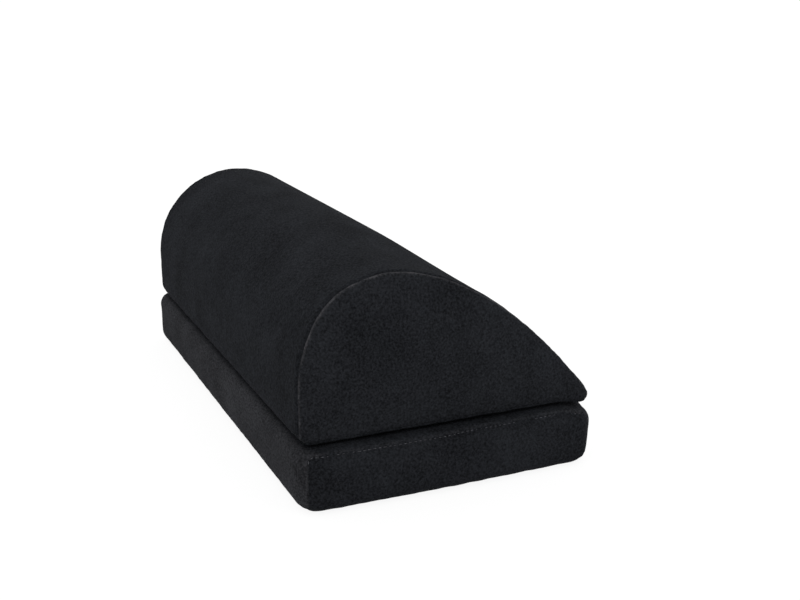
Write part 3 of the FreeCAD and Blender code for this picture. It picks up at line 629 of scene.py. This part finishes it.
# Printed silicone rubber: smooth dull black beads with a soft highlight and a little dust.
rubber, tree, place = blank("Printed silicone rubber, black")
dust = add(tree, "ShaderNodeTexNoise", {"Vector": place, "Scale": 1 / 0.004, "Detail": 4.0})
rubber_colour = between(tree, dust.outputs["Fac"], linear("#1a1a1b"), linear("#2c2c2d"))
rubber_gloss = add(tree, "ShaderNodeMapRange", {"Value": dust.outputs["Fac"], "To Min": 0.45, "To Max": 0.7})
shown(tree, add(
    tree, "ShaderNodeBsdfPrincipled",
    {"Base Color": rubber_colour, "Roughness": rubber_gloss.outputs["Result"]}))

grip_cloth = cut_panel(base_form, "base_grip_cloth", [lambda p: p[:, 2] - base_hem])
wear(grip_cloth, knit)
deselect()
bpy.ops.mesh.primitive_uv_sphere_add(
    segments=12, ring_count=6, radius=DOT_RADIUS, location=(0, 0, DOT_HEIGHT))
dots = bpy.context.object
bpy.ops.transform.resize(value=(1, 1, DOT_HEIGHT / DOT_RADIUS), center_override=(0, 0, DOT_HEIGHT))
bpy.ops.transform.translate(
    value=((1 - DOTS_ALONG) / 2 * DOT_PITCH, (1 - DOTS_ACROSS) / 2 * DOT_PITCH, 0))
bpy.ops.object.transform_apply(location=True, rotation=True, scale=True)


def repeated(piece, count, step):
    """Copies of a piece in a row, made one with it."""
    finished(piece, "ARRAY", count=count, use_relative_offset=False, use_constant_offset=True,
             constant_offset_displace=step)


repeated(dots, DOTS_ALONG, (DOT_PITCH, 0, 0))
repeated(dots, DOTS_ACROSS, (0, DOT_PITCH, 0))
bpy.ops.object.shade_smooth()
wear(dots, rubber)
grip = joined("base_grip", [grip_cloth, dots])
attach(grip, "base")
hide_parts("base_grip_panel")

# Slab cushion: hook strips
# Two strips of black nylon hook tape, sewn flat across the top along their edges. Each is a woven ground set
# with rows of stiff little hooks that catch the loops under the other cushion.
STRIP_LENGTH = 150 * MM
STRIP_WIDTH = 25 * MM
STRIP_PLACE = 130 * MM
GROUND = 0.5 * MM
SELVEDGE = 0.2 * MM
FIELD_PITCH = 2.2 * MM
FIELD_ALONG, FIELD_ACROSS = 66, 10
HOOK_WIRE = 0.14 * MM
HOOK_STEM = 0.25 * MM
HOOK_BEND = 0.24 * MM
HOOK_TURN = math.radians(205)
HOOK_ROOT = 0.1 * MM
HOOK_WELD = 0.005 * MM
STRIP_STITCH = 1.2 * MM
strip_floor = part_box("base_hook_strips")[0].z


def strip_ground(side, low, high):
    """Woven ground of one strip, with rounded selvedges."""
    deselect()
    bpy.ops.mesh.primitive_cube_add(size=1, location=(side * STRIP_PLACE, 0, (low + high) / 2))
    ground = bpy.context.object
    bpy.ops.transform.resize(value=(STRIP_WIDTH, STRIP_LENGTH, high - low))
    bpy.ops.object.transform_apply(location=True, rotation=True, scale=True)
    finished(ground, "BEVEL", width=SELVEDGE, segments=3)
    return ground


def strip_edge(side, z, up):
    """Points and outward directions round a strip, where its stitches run."""
    wide, long = STRIP_WIDTH / 2 - STRIP_STITCH, STRIP_LENGTH / 2 - STRIP_STITCH
    corners = [(-wide, -long), (wide, -long), (wide, long), (-wide, long), (-wide, -long)]
    spots = np.array([(side * STRIP_PLACE + x, y, z) for x, y in corners])
    return spots, np.tile((0.0, 0.0, up), (len(corners), 1))


def field(first):
    """A field of copies of what stands at one corner of a strip."""
    repeated(first, FIELD_ACROSS, (FIELD_PITCH, 0, 0))
    repeated(first, FIELD_ALONG, (0, FIELD_PITCH, 0))
    return first


def field_corner(side):
    """Where the first hook or loop of a strip stands."""
    return side * STRIP_PLACE - (FIELD_ACROSS - 1) / 2 * FIELD_PITCH, (1 - FIELD_ALONG) / 2 * FIELD_PITCH


def hook(side):
    """The first hook of a strip: a wire rooted in the ground and bent over at its top."""
    x, y = field_corner(side)
    foot = strip_floor + GROUND - HOOK_ROOT
    deselect()
    bpy.ops.mesh.primitive_circle_add(vertices=5, radius=HOOK_WIRE, fill_type="NGON", location=(x, y, foot))
    made = bpy.context.object
    bpy.ops.object.transform_apply(location=True, rotation=True, scale=True)
    bpy.ops.object.mode_set(mode="EDIT")
    bpy.ops.mesh.select_all(action="SELECT")
    bpy.ops.mesh.extrude_region_move(TRANSFORM_OT_translate={"value": (0, 0, HOOK_STEM + HOOK_ROOT)})
    bpy.ops.mesh.spin(
        steps=5, angle=HOOK_TURN, axis=(0, 1, 0),
        center=(x + HOOK_BEND, y, foot + HOOK_STEM + HOOK_ROOT))
    bpy.ops.mesh.select_all(action="SELECT")
    bpy.ops.mesh.remove_doubles(threshold=HOOK_WELD)
    bpy.ops.mesh.normals_make_consistent(inside=False)
    bpy.ops.object.mode_set(mode="OBJECT")
    return made


# Nylon tape, woven plain from threads 1.6 mm apart and dyed black, with the faint gloss of monofilament.
nylon, tree, place = blank("Woven nylon tape, black")
warp, weft = (
    add(tree, "ShaderNodeTexWave", {"Vector": place, "Scale": 1 / 0.0050, "Distortion": 1.0},
        bands_direction=way)
    for way in ("X", "Y"))
weave = add(
    tree, "ShaderNodeMath", {0: warp.outputs["Fac"], 1: weft.outputs["Fac"]}, operation="MULTIPLY")
nylon_colour = between(tree, weave.outputs[0], linear("#111113"), linear("#27272b"))
threads = add(tree, "ShaderNodeBump", {"Height": weave.outputs[0], "Strength": 0.5, "Distance": 0.2 * MM})
shown(tree, add(
    tree, "ShaderNodeBsdfPrincipled",
    {"Base Color": nylon_colour, "Roughness": 0.65, "Specular IOR Level": 0.25,
     "Normal": threads.outputs["Normal"]}))

# Nylon monofilament, black: smooth drawn wire that glints grey in rows over its ground.
wire, tree, place = blank("Nylon monofilament, black")
draw = add(tree, "ShaderNodeTexNoise", {"Vector": place, "Scale": 1 / 0.002, "Detail": 2.0})
wire_colour = between(tree, draw.outputs["Fac"], linear("#2b2b2e"), linear("#56565b"))
shown(tree, add(
    tree, "ShaderNodeBsdfPrincipled",
    {"Base Color": wire_colour, "Roughness": 0.4, "IOR": 1.53}))

hook_parts = []
for side in (-1, 1):
    ground, hook_field = strip_ground(side, strip_floor, strip_floor + GROUND), field(hook(side))
    wear(ground, nylon)
    wear(hook_field, wire)
    hook_parts += [ground, hook_field]
hooks = joined("base_hooks", hook_parts)
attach(hooks, "base")
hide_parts("base_hook_strips")
hook_thread = sew("base_hook_stitches", [strip_edge(side, strip_floor + GROUND, 1.0) for side in (-1, 1)])
wear(hook_thread, thread)
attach(hook_thread, "base")

# Slab cushion: zip
# A coarse moulded zip, sewn in behind the front opening: two woven tapes, two rows of plastic teeth, black
# enamelled stops and slider, and a pull on the slider's bridge. A strip of knit behind it keeps the foam
# out of the teeth.
TAPE_STEP = 5 * MM
TAPE_RIPPLE = 0.12 * MM
RIPPLE_ALONG = 17 * MM
RIPPLE_ACROSS = 30 * MM
TAPE_CREASE = math.radians(40)
FACING = 0.4 * MM
FACING_HALF = 6 * MM
FACING_EDGE = 0.1 * MM
TOPSTITCH_EDGE = 2.5 * MM
IN_FRONT = -500 * MM
zip_stitch = SLOT_HALF + TOPSTITCH_EDGE


def tape(cushion, side):
    """A woven tape: a copy of its solid, cut across at short steps and let ripple a little."""
    piece = copy_of(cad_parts[f"{cushion}_zip_tape_{side}"], f"{cushion}_tape_{side}")
    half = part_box(f"{cushion}_zip_tape_{side}")[1].x
    pick(piece)
    bpy.ops.object.mode_set(mode="EDIT")
    for cut in np.arange(TAPE_STEP - half, half, TAPE_STEP):
        bpy.ops.mesh.select_all(action="SELECT")
        bpy.ops.mesh.bisect(plane_co=(cut, 0, 0), plane_no=(1, 0, 0))
    bpy.ops.object.mode_set(mode="OBJECT")
    points = points_of(piece)
    ripple = [noise.noise(Vector((x / RIPPLE_ALONG, 0, z / RIPPLE_ACROSS))) for x, _, z in points]
    points[:, 1] += TAPE_RIPPLE * np.array(ripple)
    set_points(piece, points)
    pick(piece)
    bpy.ops.object.shade_smooth_by_angle(angle=TAPE_CREASE)
    wear(piece, zip_tape)
    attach(piece, cushion)
    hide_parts(f"{cushion}_zip_tape_{side}")


# Polyester zip tape, woven in a twill and dyed black: slanting ribs 2.5 mm apart, broken up by its fibres.
zip_tape, tree, place = blank("Woven polyester zip tape, black")
slant = add(
    tree, "ShaderNodeTexWave", {"Vector": place, "Scale": 1 / 0.0056, "Distortion": 0.6},
    bands_direction="DIAGONAL")
fuzz = add(tree, "ShaderNodeTexNoise", {"Vector": place, "Scale": 1 / 0.0020, "Detail": 2.0})
tape_shade = add(
    tree, "ShaderNodeMath", {0: slant.outputs["Fac"], 1: fuzz.outputs["Fac"]}, operation="MULTIPLY")
tape_colour = between(tree, tape_shade.outputs[0], linear("#121214"), linear("#303034"))
tape_ribs = add(
    tree, "ShaderNodeBump", {"Height": tape_shade.outputs[0], "Strength": 0.5, "Distance": 0.2 * MM})
shown(tree, add(
    tree, "ShaderNodeBsdfPrincipled",
    {"Base Color": tape_colour, "Roughness": 0.8, "Specular IOR Level": 0.3,
     "Normal": tape_ribs.outputs["Normal"]}))

# Moulded acetal, black: smooth with a soft satin gloss and a faint flow mottle.
acetal, tree, place = blank("Moulded acetal, black")
flow = add(tree, "ShaderNodeTexNoise", {"Vector": place, "Scale": 1 / 0.003, "Detail": 3.0})
acetal_colour = between(tree, flow.outputs["Fac"], linear("#161617"), linear("#29292b"))
acetal_gloss = add(tree, "ShaderNodeMapRange", {"Value": flow.outputs["Fac"], "To Min": 0.3, "To Max": 0.5})
shown(tree, add(
    tree, "ShaderNodeBsdfPrincipled",
    {"Base Color": acetal_colour, "Roughness": acetal_gloss.outputs["Result"], "IOR": 1.48}))

# Stoved enamel on zinc: glossy black with a slight orange peel of about 0.8 mm.
enamel, tree, place = blank("Stoved enamel on zinc, black")
peel = add(tree, "ShaderNodeTexNoise", {"Vector": place, "Scale": 1 / 0.0008, "Detail": 1.0})
rubbed = add(tree, "ShaderNodeTexNoise", {"Vector": place, "Scale": 1 / 0.005, "Detail": 4.0})
enamel_colour = between(tree, rubbed.outputs["Fac"], linear("#121213"), linear("#26262a"))
enamel_gloss = add(
    tree, "ShaderNodeMapRange", {"Value": rubbed.outputs["Fac"], "To Min": 0.18, "To Max": 0.4})
enamel_peel = add(
    tree, "ShaderNodeBump", {"Height": peel.outputs["Fac"], "Strength": 0.15, "Distance": 0.1 * MM})
shown(tree, add(
    tree, "ShaderNodeBsdfPrincipled",
    {"Base Color": enamel_colour, "Roughness": enamel_gloss.outputs["Result"], "Coat Weight": 0.4,
     "Normal": enamel_peel.outputs["Normal"]}))


def facing(cushion):
    """The strip behind the zip, on the foam, just clear of the slider's back."""
    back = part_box(f"{cushion}_zip_slider")[1].y
    deselect()
    bpy.ops.mesh.primitive_cube_add(size=1, location=(0, back + FACING, zip_height(cushion)))
    strip = bpy.context.object
    strip.name = f"{cushion}_zip_facing"
    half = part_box(f"{cushion}_zip_tape_upper")[1].x
    bpy.ops.transform.resize(value=(2 * half, FACING, 2 * FACING_HALF))
    bpy.ops.object.transform_apply(location=True, rotation=True, scale=True)
    finished(strip, "BEVEL", width=FACING_EDGE, segments=2)
    wear(strip, knit)
    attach(strip, cushion)


def zip_of(cushion):
    """Tapes, facing, and the finish of the moulded and cast pieces of one zip."""
    facing(cushion)
    for side in ("upper", "lower"):
        tape(cushion, side)
        wear(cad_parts[f"{cushion}_zip_teeth_{side}"], acetal)
    for cast in ("stops", "slider", "pull"):
        wear(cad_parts[f"{cushion}_zip_{cast}"], enamel)


def straight_run(form, half, z):
    """Points and outward directions along the front of a cover, at one height."""
    spots, outs = [], []
    for x in np.arange(-half, half, STITCH_PITCH):
        hit, spot, out, _ = form.ray_cast((x, IN_FRONT, z), (0, 1, 0))
        if hit:
            spots.append(spot)
            outs.append(out)
    return np.array(spots), np.array(outs)


zip_of("base")
base_zip_thread = sew("base_zip_stitches", [
    straight_run(base_form, base_slot, base_zip_z + step) for step in (zip_stitch, -zip_stitch)])
wear(base_zip_thread, thread)
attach(base_zip_thread, "base")

# Teardrop cushion: foam block
# A block of the same foam, sawn to a teardrop section and let in along its front edge for the zip. Use has
# settled its left end: the crest there is a little lower and the shoulder behind it fuller.
CREST_FALL = 6 * MM
CREST_Y = 12 * MM
CREST_WIDTH = 36 * MM
SHOULDER_RISE = 4 * MM
SHOULDER_Y = 93 * MM
SHOULDER_WIDTH = 18 * MM
SETTLE_ALONG = (60 * MM, 190 * MM)
SETTLE_UP = (90 * MM, 135 * MM)


def settle(points):
    """Gives the left end the shape that use has pressed it to, from half its height up."""
    share = eased(-points[:, 0], *SETTLE_ALONG) * eased(points[:, 2], *SETTLE_UP)
    crest = np.exp(-(((points[:, 1] - CREST_Y) / CREST_WIDTH) ** 2))
    shoulder = np.exp(-(((points[:, 1] - SHOULDER_Y) / SHOULDER_WIDTH) ** 2))
    points[:, 2] += share * (SHOULDER_RISE * shoulder - CREST_FALL * crest)


top_foam = block("top", "top_foam_core")
foam_points = points_of(top_foam)
settle(foam_points)
foam_points[:, 2] -= SAG * corner_of(foam_points)
set_points(top_foam, foam_points)
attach(top_foam, "top")
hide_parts("top_foam_core")

# Teardrop cushion: filled cover, before its panels are cut
# The same make on the teardrop block. Its D-shaped ends are full and bulge out from their seams.
TOP_SWELL = 1.2 * MM
END_BULGE = 2.5 * MM
END_BULGE_START = 2 * MM
END_BULGE_REACH = 14 * MM
TOP_SEAM_DEPTH = 2.1 * MM
TOP_HELD_HEM = 2 * MM
TOP_HELD_NOSE = 20 * MM
TOP_HELD_HEIGHT = 24 * MM
TOP_HELD_SEAM = 2.5 * MM
LOW_EDGE = 2.5 * MM
LOW_EDGE_ZONE = 8 * MM
LOW_EDGE_HEIGHT = 11 * MM
LOW_EDGE_START = 12 * MM
LOW_EDGE_RISE = 20 * MM
NOSE_FULL = 4.5 * MM
NOSE_MIDDLE = 21 * MM
NOSE_WIDTH = 16 * MM


def outline_of(node):
    """The node's outline seen along the cushion, as corner points and outward directions of its sides."""
    seen = [Vector((v.co.y, v.co.z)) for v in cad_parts[node].data.vertices]
    hull = np.array([seen[index] for index in geometry.convex_hull_2d(seen)])
    side = np.roll(hull, -1, axis=0) - hull
    long = np.linalg.norm(side, axis=1) > WELD
    hull, side = hull[long], side[long]
    out = np.column_stack((side[:, 1], -side[:, 0])) / np.linalg.norm(side, axis=1)[:, None]
    if np.mean(np.sum(out * (hull - hull.mean(axis=0)), axis=1)) < 0:
        out = -out
    return hull, out


def beyond(points, outline):
    """How far each point stands outside an outline, seen along the cushion."""
    hull, out = outline
    return np.max(points[:, 1:] @ out.T - np.sum(hull * out, axis=1), axis=1)


top_form = cast_form(
    "top_form", ["top_wrap_panel", "top_end_panel_left", "top_end_panel_right", "top_bottom_panel"])
top_outline = outline_of("top_end_panel_left")
top_low, top_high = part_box("top_wrap_panel")
top_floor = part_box("top_bottom_panel")[0].z
top_hem = top_low.z
end_seam_x = top_high.x


def top_end_seam(points):
    """Distance to the seams of the D-shaped ends."""
    return np.abs(points[:, 0]) - end_seam_x


top_points = points_of(top_form)
top_held = (
    (top_points[:, 2] < top_hem + TOP_HELD_HEM)
    | ((top_points[:, 1] < top_low.y + TOP_HELD_NOSE) & (top_points[:, 2] < top_floor + TOP_HELD_HEIGHT))
    | (np.abs(top_end_seam(top_points)) < TOP_HELD_SEAM)
)
fill(top_form, top_held, TOP_SWELL)
top_points = points_of(top_form)
past_seam = top_end_seam(top_points)
inwards = np.clip(-beyond(top_points, top_outline) - END_BULGE_START, 0, None)
bulge = END_BULGE * (1 - np.exp(-inwards / END_BULGE_REACH)) * (past_seam > END_BULGE_START)
edge_size = np.where(np.abs(past_seam) < LOW_EDGE_ZONE, LOW_EDGE, BACK_EDGE)
behind_nose = np.clip((top_points[:, 1] - top_low.y - LOW_EDGE_START) / LOW_EDGE_RISE, 0, 1)
at_low_edge = behind_nose * (top_points[:, 2] < top_floor + LOW_EDGE_HEIGHT)
stuffed = edge_size * CORNER_GAP * edge_bend(top_form) * at_low_edge
top_points += normals_of(top_form) * stuffed[:, None]
top_points[:, 0] += np.sign(top_points[:, 0]) * bulge
settle(top_points)
corner = corner_of(top_points)
nose_height = (top_points[:, 2] - top_floor - NOSE_MIDDLE) / NOSE_WIDTH
top_points[:, 1] -= NOSE_FULL * corner * np.exp(-(nose_height ** 2))
top_points[:, 2] -= SAG * corner
set_points(top_form, top_points)
finished(top_form, "SUBSURF", levels=1, render_levels=1)


def above_hem(points):
    """Height over the hem, which hangs with the front corners."""
    return points[:, 2] + SAG * corner_of(points) - top_hem


def top_seams(points):
    """Distance to the nearest seam of the teardrop cushion's cover."""
    ends, hem = top_end_seam(points), above_hem(points)
    return np.where(np.abs(hem) < np.abs(ends), hem, ends)


refine(top_form, top_seams(points_of(top_form)))
at_hem = np.abs(above_hem(points_of(top_form))) < SEAM_ZONE
draw_in(top_form, top_seams(points_of(top_form)), np.where(at_hem, HEM_DEPTH, TOP_SEAM_DEPTH))

# Teardrop cushion: wrap panel
# One piece of plush that goes up the steep back, over the ridge and down the slope to the front edge,
# where the zip's opening is.
TOP_SLOT_DEPTH = 16 * MM
TOP_SHEEN, TOP_HEM_HIGHLIGHT = 0.04, 0.6
top_zip_z = zip_height("top")
top_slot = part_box("top_zip_tape_upper")[1].x - TAPE_TAIL
top_wrap = cut_panel(
    top_form, "top_wrap",
    [
        top_end_seam,
        lambda p: -above_hem(p),
        lambda p: in_slot(p, top_slot, top_zip_z, top_low.y + TOP_SLOT_DEPTH),
    ],
)
# Painted sheen: a little over the whole wrap, and a painted highlight line along the rolled edge just above
# the hem.
paint_sheen(top_wrap, TOP_SHEEN, TOP_HEM_HIGHLIGHT, above_hem(points_of(top_wrap)) - RIM_PLACE)
wear(top_wrap, plush)
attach(top_wrap, "top")
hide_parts("top_wrap_panel")

# Teardrop cushion: end panels
# Two D-shaped pieces of plush, sewn round into the open ends of the wrap.
TOP_END_SHEEN, TOP_END_SEAM_HIGHLIGHT = 0.08, 1.3
TOP_END_RIM_PLACE = 3.2 * MM
for end, way in (("left", -1), ("right", 1)):
    panel = cut_panel(
        top_form, f"top_end_{end}",
        [lambda p: -top_end_seam(p), lambda p: -above_hem(p)],
        lambda centre: centre.x * way > 0,
    )
    # Painted sheen: a little over each D-shaped face, and a painted highlight line on its rolled edge just
    # inside the seam.
    paint_sheen(panel, TOP_END_SHEEN, TOP_END_SEAM_HIGHLIGHT, top_end_seam(points_of(panel)) - TOP_END_RIM_PLACE)
    wear(panel, plush)
    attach(panel, "top")
    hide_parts(f"top_end_panel_{end}")

# Teardrop cushion: underside
# The flat panel that carries the loop strips, sewn on below the wrap and the end panels.
underside = cut_panel(top_form, "top_underside", [above_hem])
wear(underside, plush)
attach(underside, "top")
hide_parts("top_bottom_panel")

# Teardrop cushion: loop strips
# Two strips of brushed nylon loop tape under the cushion, over the hook strips: a woven ground with a field
# of fine loops that lie every way.
LOOP_RADIUS = 0.42 * MM
LOOP_WIRE = 0.09 * MM
LOOP_LIFT = 1.5 * LOOP_WIRE
LOOP_TURN = 0.6
LOOP_STRAY = 0.5 * MM
LOOP_PATCH = 1.4 * MM
loop_floor, loop_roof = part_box("top_loop_strips")[0].z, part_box("top_loop_strips")[1].z


def loop(side):
    """The first loop of a strip, standing on edge."""
    x, y = field_corner(side)
    deselect()
    bpy.ops.mesh.primitive_torus_add(
        major_radius=LOOP_RADIUS, minor_radius=LOOP_WIRE, major_segments=9, minor_segments=3,
        location=(x, y, loop_floor + LOOP_RADIUS + LOOP_LIFT), rotation=(math.pi / 2, 0, LOOP_TURN))
    made = bpy.context.object
    bpy.ops.object.transform_apply(location=True, rotation=True, scale=True)
    return made


loop_parts = []
for side in (-1, 1):
    pile = field(loop(side))
    points = points_of(pile)
    stray = [noise.noise_vector(Vector(point) / LOOP_PATCH) for point in points]
    points[:, :2] += LOOP_STRAY * np.array(stray)[:, :2]
    set_points(pile, points)
    ground = strip_ground(side, loop_roof - GROUND, loop_roof)
    wear(ground, nylon)
    wear(pile, wire)
    loop_parts += [ground, pile]
loops = joined("top_loops", loop_parts)
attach(loops, "top")
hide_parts("top_loop_strips")
loop_thread = sew("top_loop_stitches", [strip_edge(side, loop_roof - GROUND, -1.0) for side in (-1, 1)])
wear(loop_thread, thread)
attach(loop_thread, "top")

# Teardrop cushion: zip
# The same zip as the slab's, set back in the thin front edge, its upper tape topstitched to the slope.
zip_of("top")
top_zip_thread = sew("top_zip_stitches", [straight_run(top_form, top_slot, top_zip_z + zip_stitch)])
wear(top_zip_thread, thread)
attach(top_zip_thread, "top")

for form in (base_form, top_form):
    bpy.data.objects.remove(form)

# Room: floor, light and camera
# A white paper floor and white surroundings, a large soft light at the left and the floor's own bounce.
FLOOR_SIZE = 40
PAGE_GLOW = 0.9
ROOM_GLOW = 0.88
LIGHT_PLACE = Vector((-0.9, 1.5, 1.5))
LIGHT_AT = Vector((0, 0, 0.08))
LIGHT_WIDTH, LIGHT_HEIGHT = 1.6, 1.2
LIGHT_POWER = 1.5
VIEW_FROM = Vector((-0.8889, 0.3417, 0.3659))
VIEW_AT = Vector((-0.0125, -0.0464, 0.0809))
FOCAL_PIXELS = 1149.3
IMAGE_WIDTH = 800
SENSOR_WIDTH = 36
deselect()
bpy.ops.mesh.primitive_plane_add(size=FLOOR_SIZE, location=(0, 0, 0))
floor = bpy.context.object
floor.name = "floor"


def looked_at(tree):
    """1 for what the camera sees, straight or in a gloss or glass."""
    path = add(tree, "ShaderNodeLightPath").outputs
    seen = path["Is Camera Ray"]
    for ray in ("Is Glossy Ray", "Is Transmission Ray"):
        seen = add(tree, "ShaderNodeMath", {0: seen, 1: path[ray]}, operation="MAXIMUM").outputs[0]
    return seen


# White paper: it is lit as paper for the cushion, and seen as the white of the page, with a trace of shadow.
paper, tree, _ = blank("White paper")
sheet = add(tree, "ShaderNodeBsdfDiffuse", {"Color": linear("#e7e7e7")})
glow = add(tree, "ShaderNodeEmission", {"Color": linear("#ffffff"), "Strength": PAGE_GLOW})
pale = add(tree, "ShaderNodeBsdfDiffuse", {"Color": linear("#707070")})
backed = add(tree, "ShaderNodeAddShader", {0: glow.outputs[0], 1: pale.outputs[0]})
shown(tree, add(
    tree, "ShaderNodeMixShader", {"Fac": looked_at(tree), 1: sheet.outputs[0], 2: backed.outputs[0]}))
wear(floor, paper)

world = bpy.data.worlds.new("White room")
bpy.context.scene.world = world
world.use_nodes = True
tree = world.node_tree
tree.nodes.clear()
room = add(tree, "ShaderNodeBackground", {"Color": linear("#ffffff"), "Strength": ROOM_GLOW})
white = add(tree, "ShaderNodeBackground", {"Color": linear("#ffffff"), "Strength": 1.0})
mixed = add(tree, "ShaderNodeMixShader", {"Fac": looked_at(tree), 1: room.outputs[0], 2: white.outputs[0]})
add(tree, "ShaderNodeOutputWorld", {"Surface": mixed.outputs[0]})

bpy.ops.object.light_add(type="AREA", location=LIGHT_PLACE)
light = bpy.context.object
light.name = "soft_light"
light.data.shape = "RECTANGLE"
light.data.size = LIGHT_WIDTH
light.data.size_y = LIGHT_HEIGHT
light.data.energy = LIGHT_POWER
light.rotation_euler = (LIGHT_AT - LIGHT_PLACE).to_track_quat("-Z", "Y").to_euler()

bpy.ops.object.camera_add(location=VIEW_FROM)
camera = bpy.context.object
camera.rotation_euler = (VIEW_AT - VIEW_FROM).to_track_quat("-Z", "Y").to_euler()
camera.data.sensor_fit = "HORIZONTAL"
camera.data.sensor_width = SENSOR_WIDTH
camera.data.lens = SENSOR_WIDTH * FOCAL_PIXELS / IMAGE_WIDTH
bpy.context.scene.camera = camera
bpy.context.scene.view_settings.view_transform = "Standard"
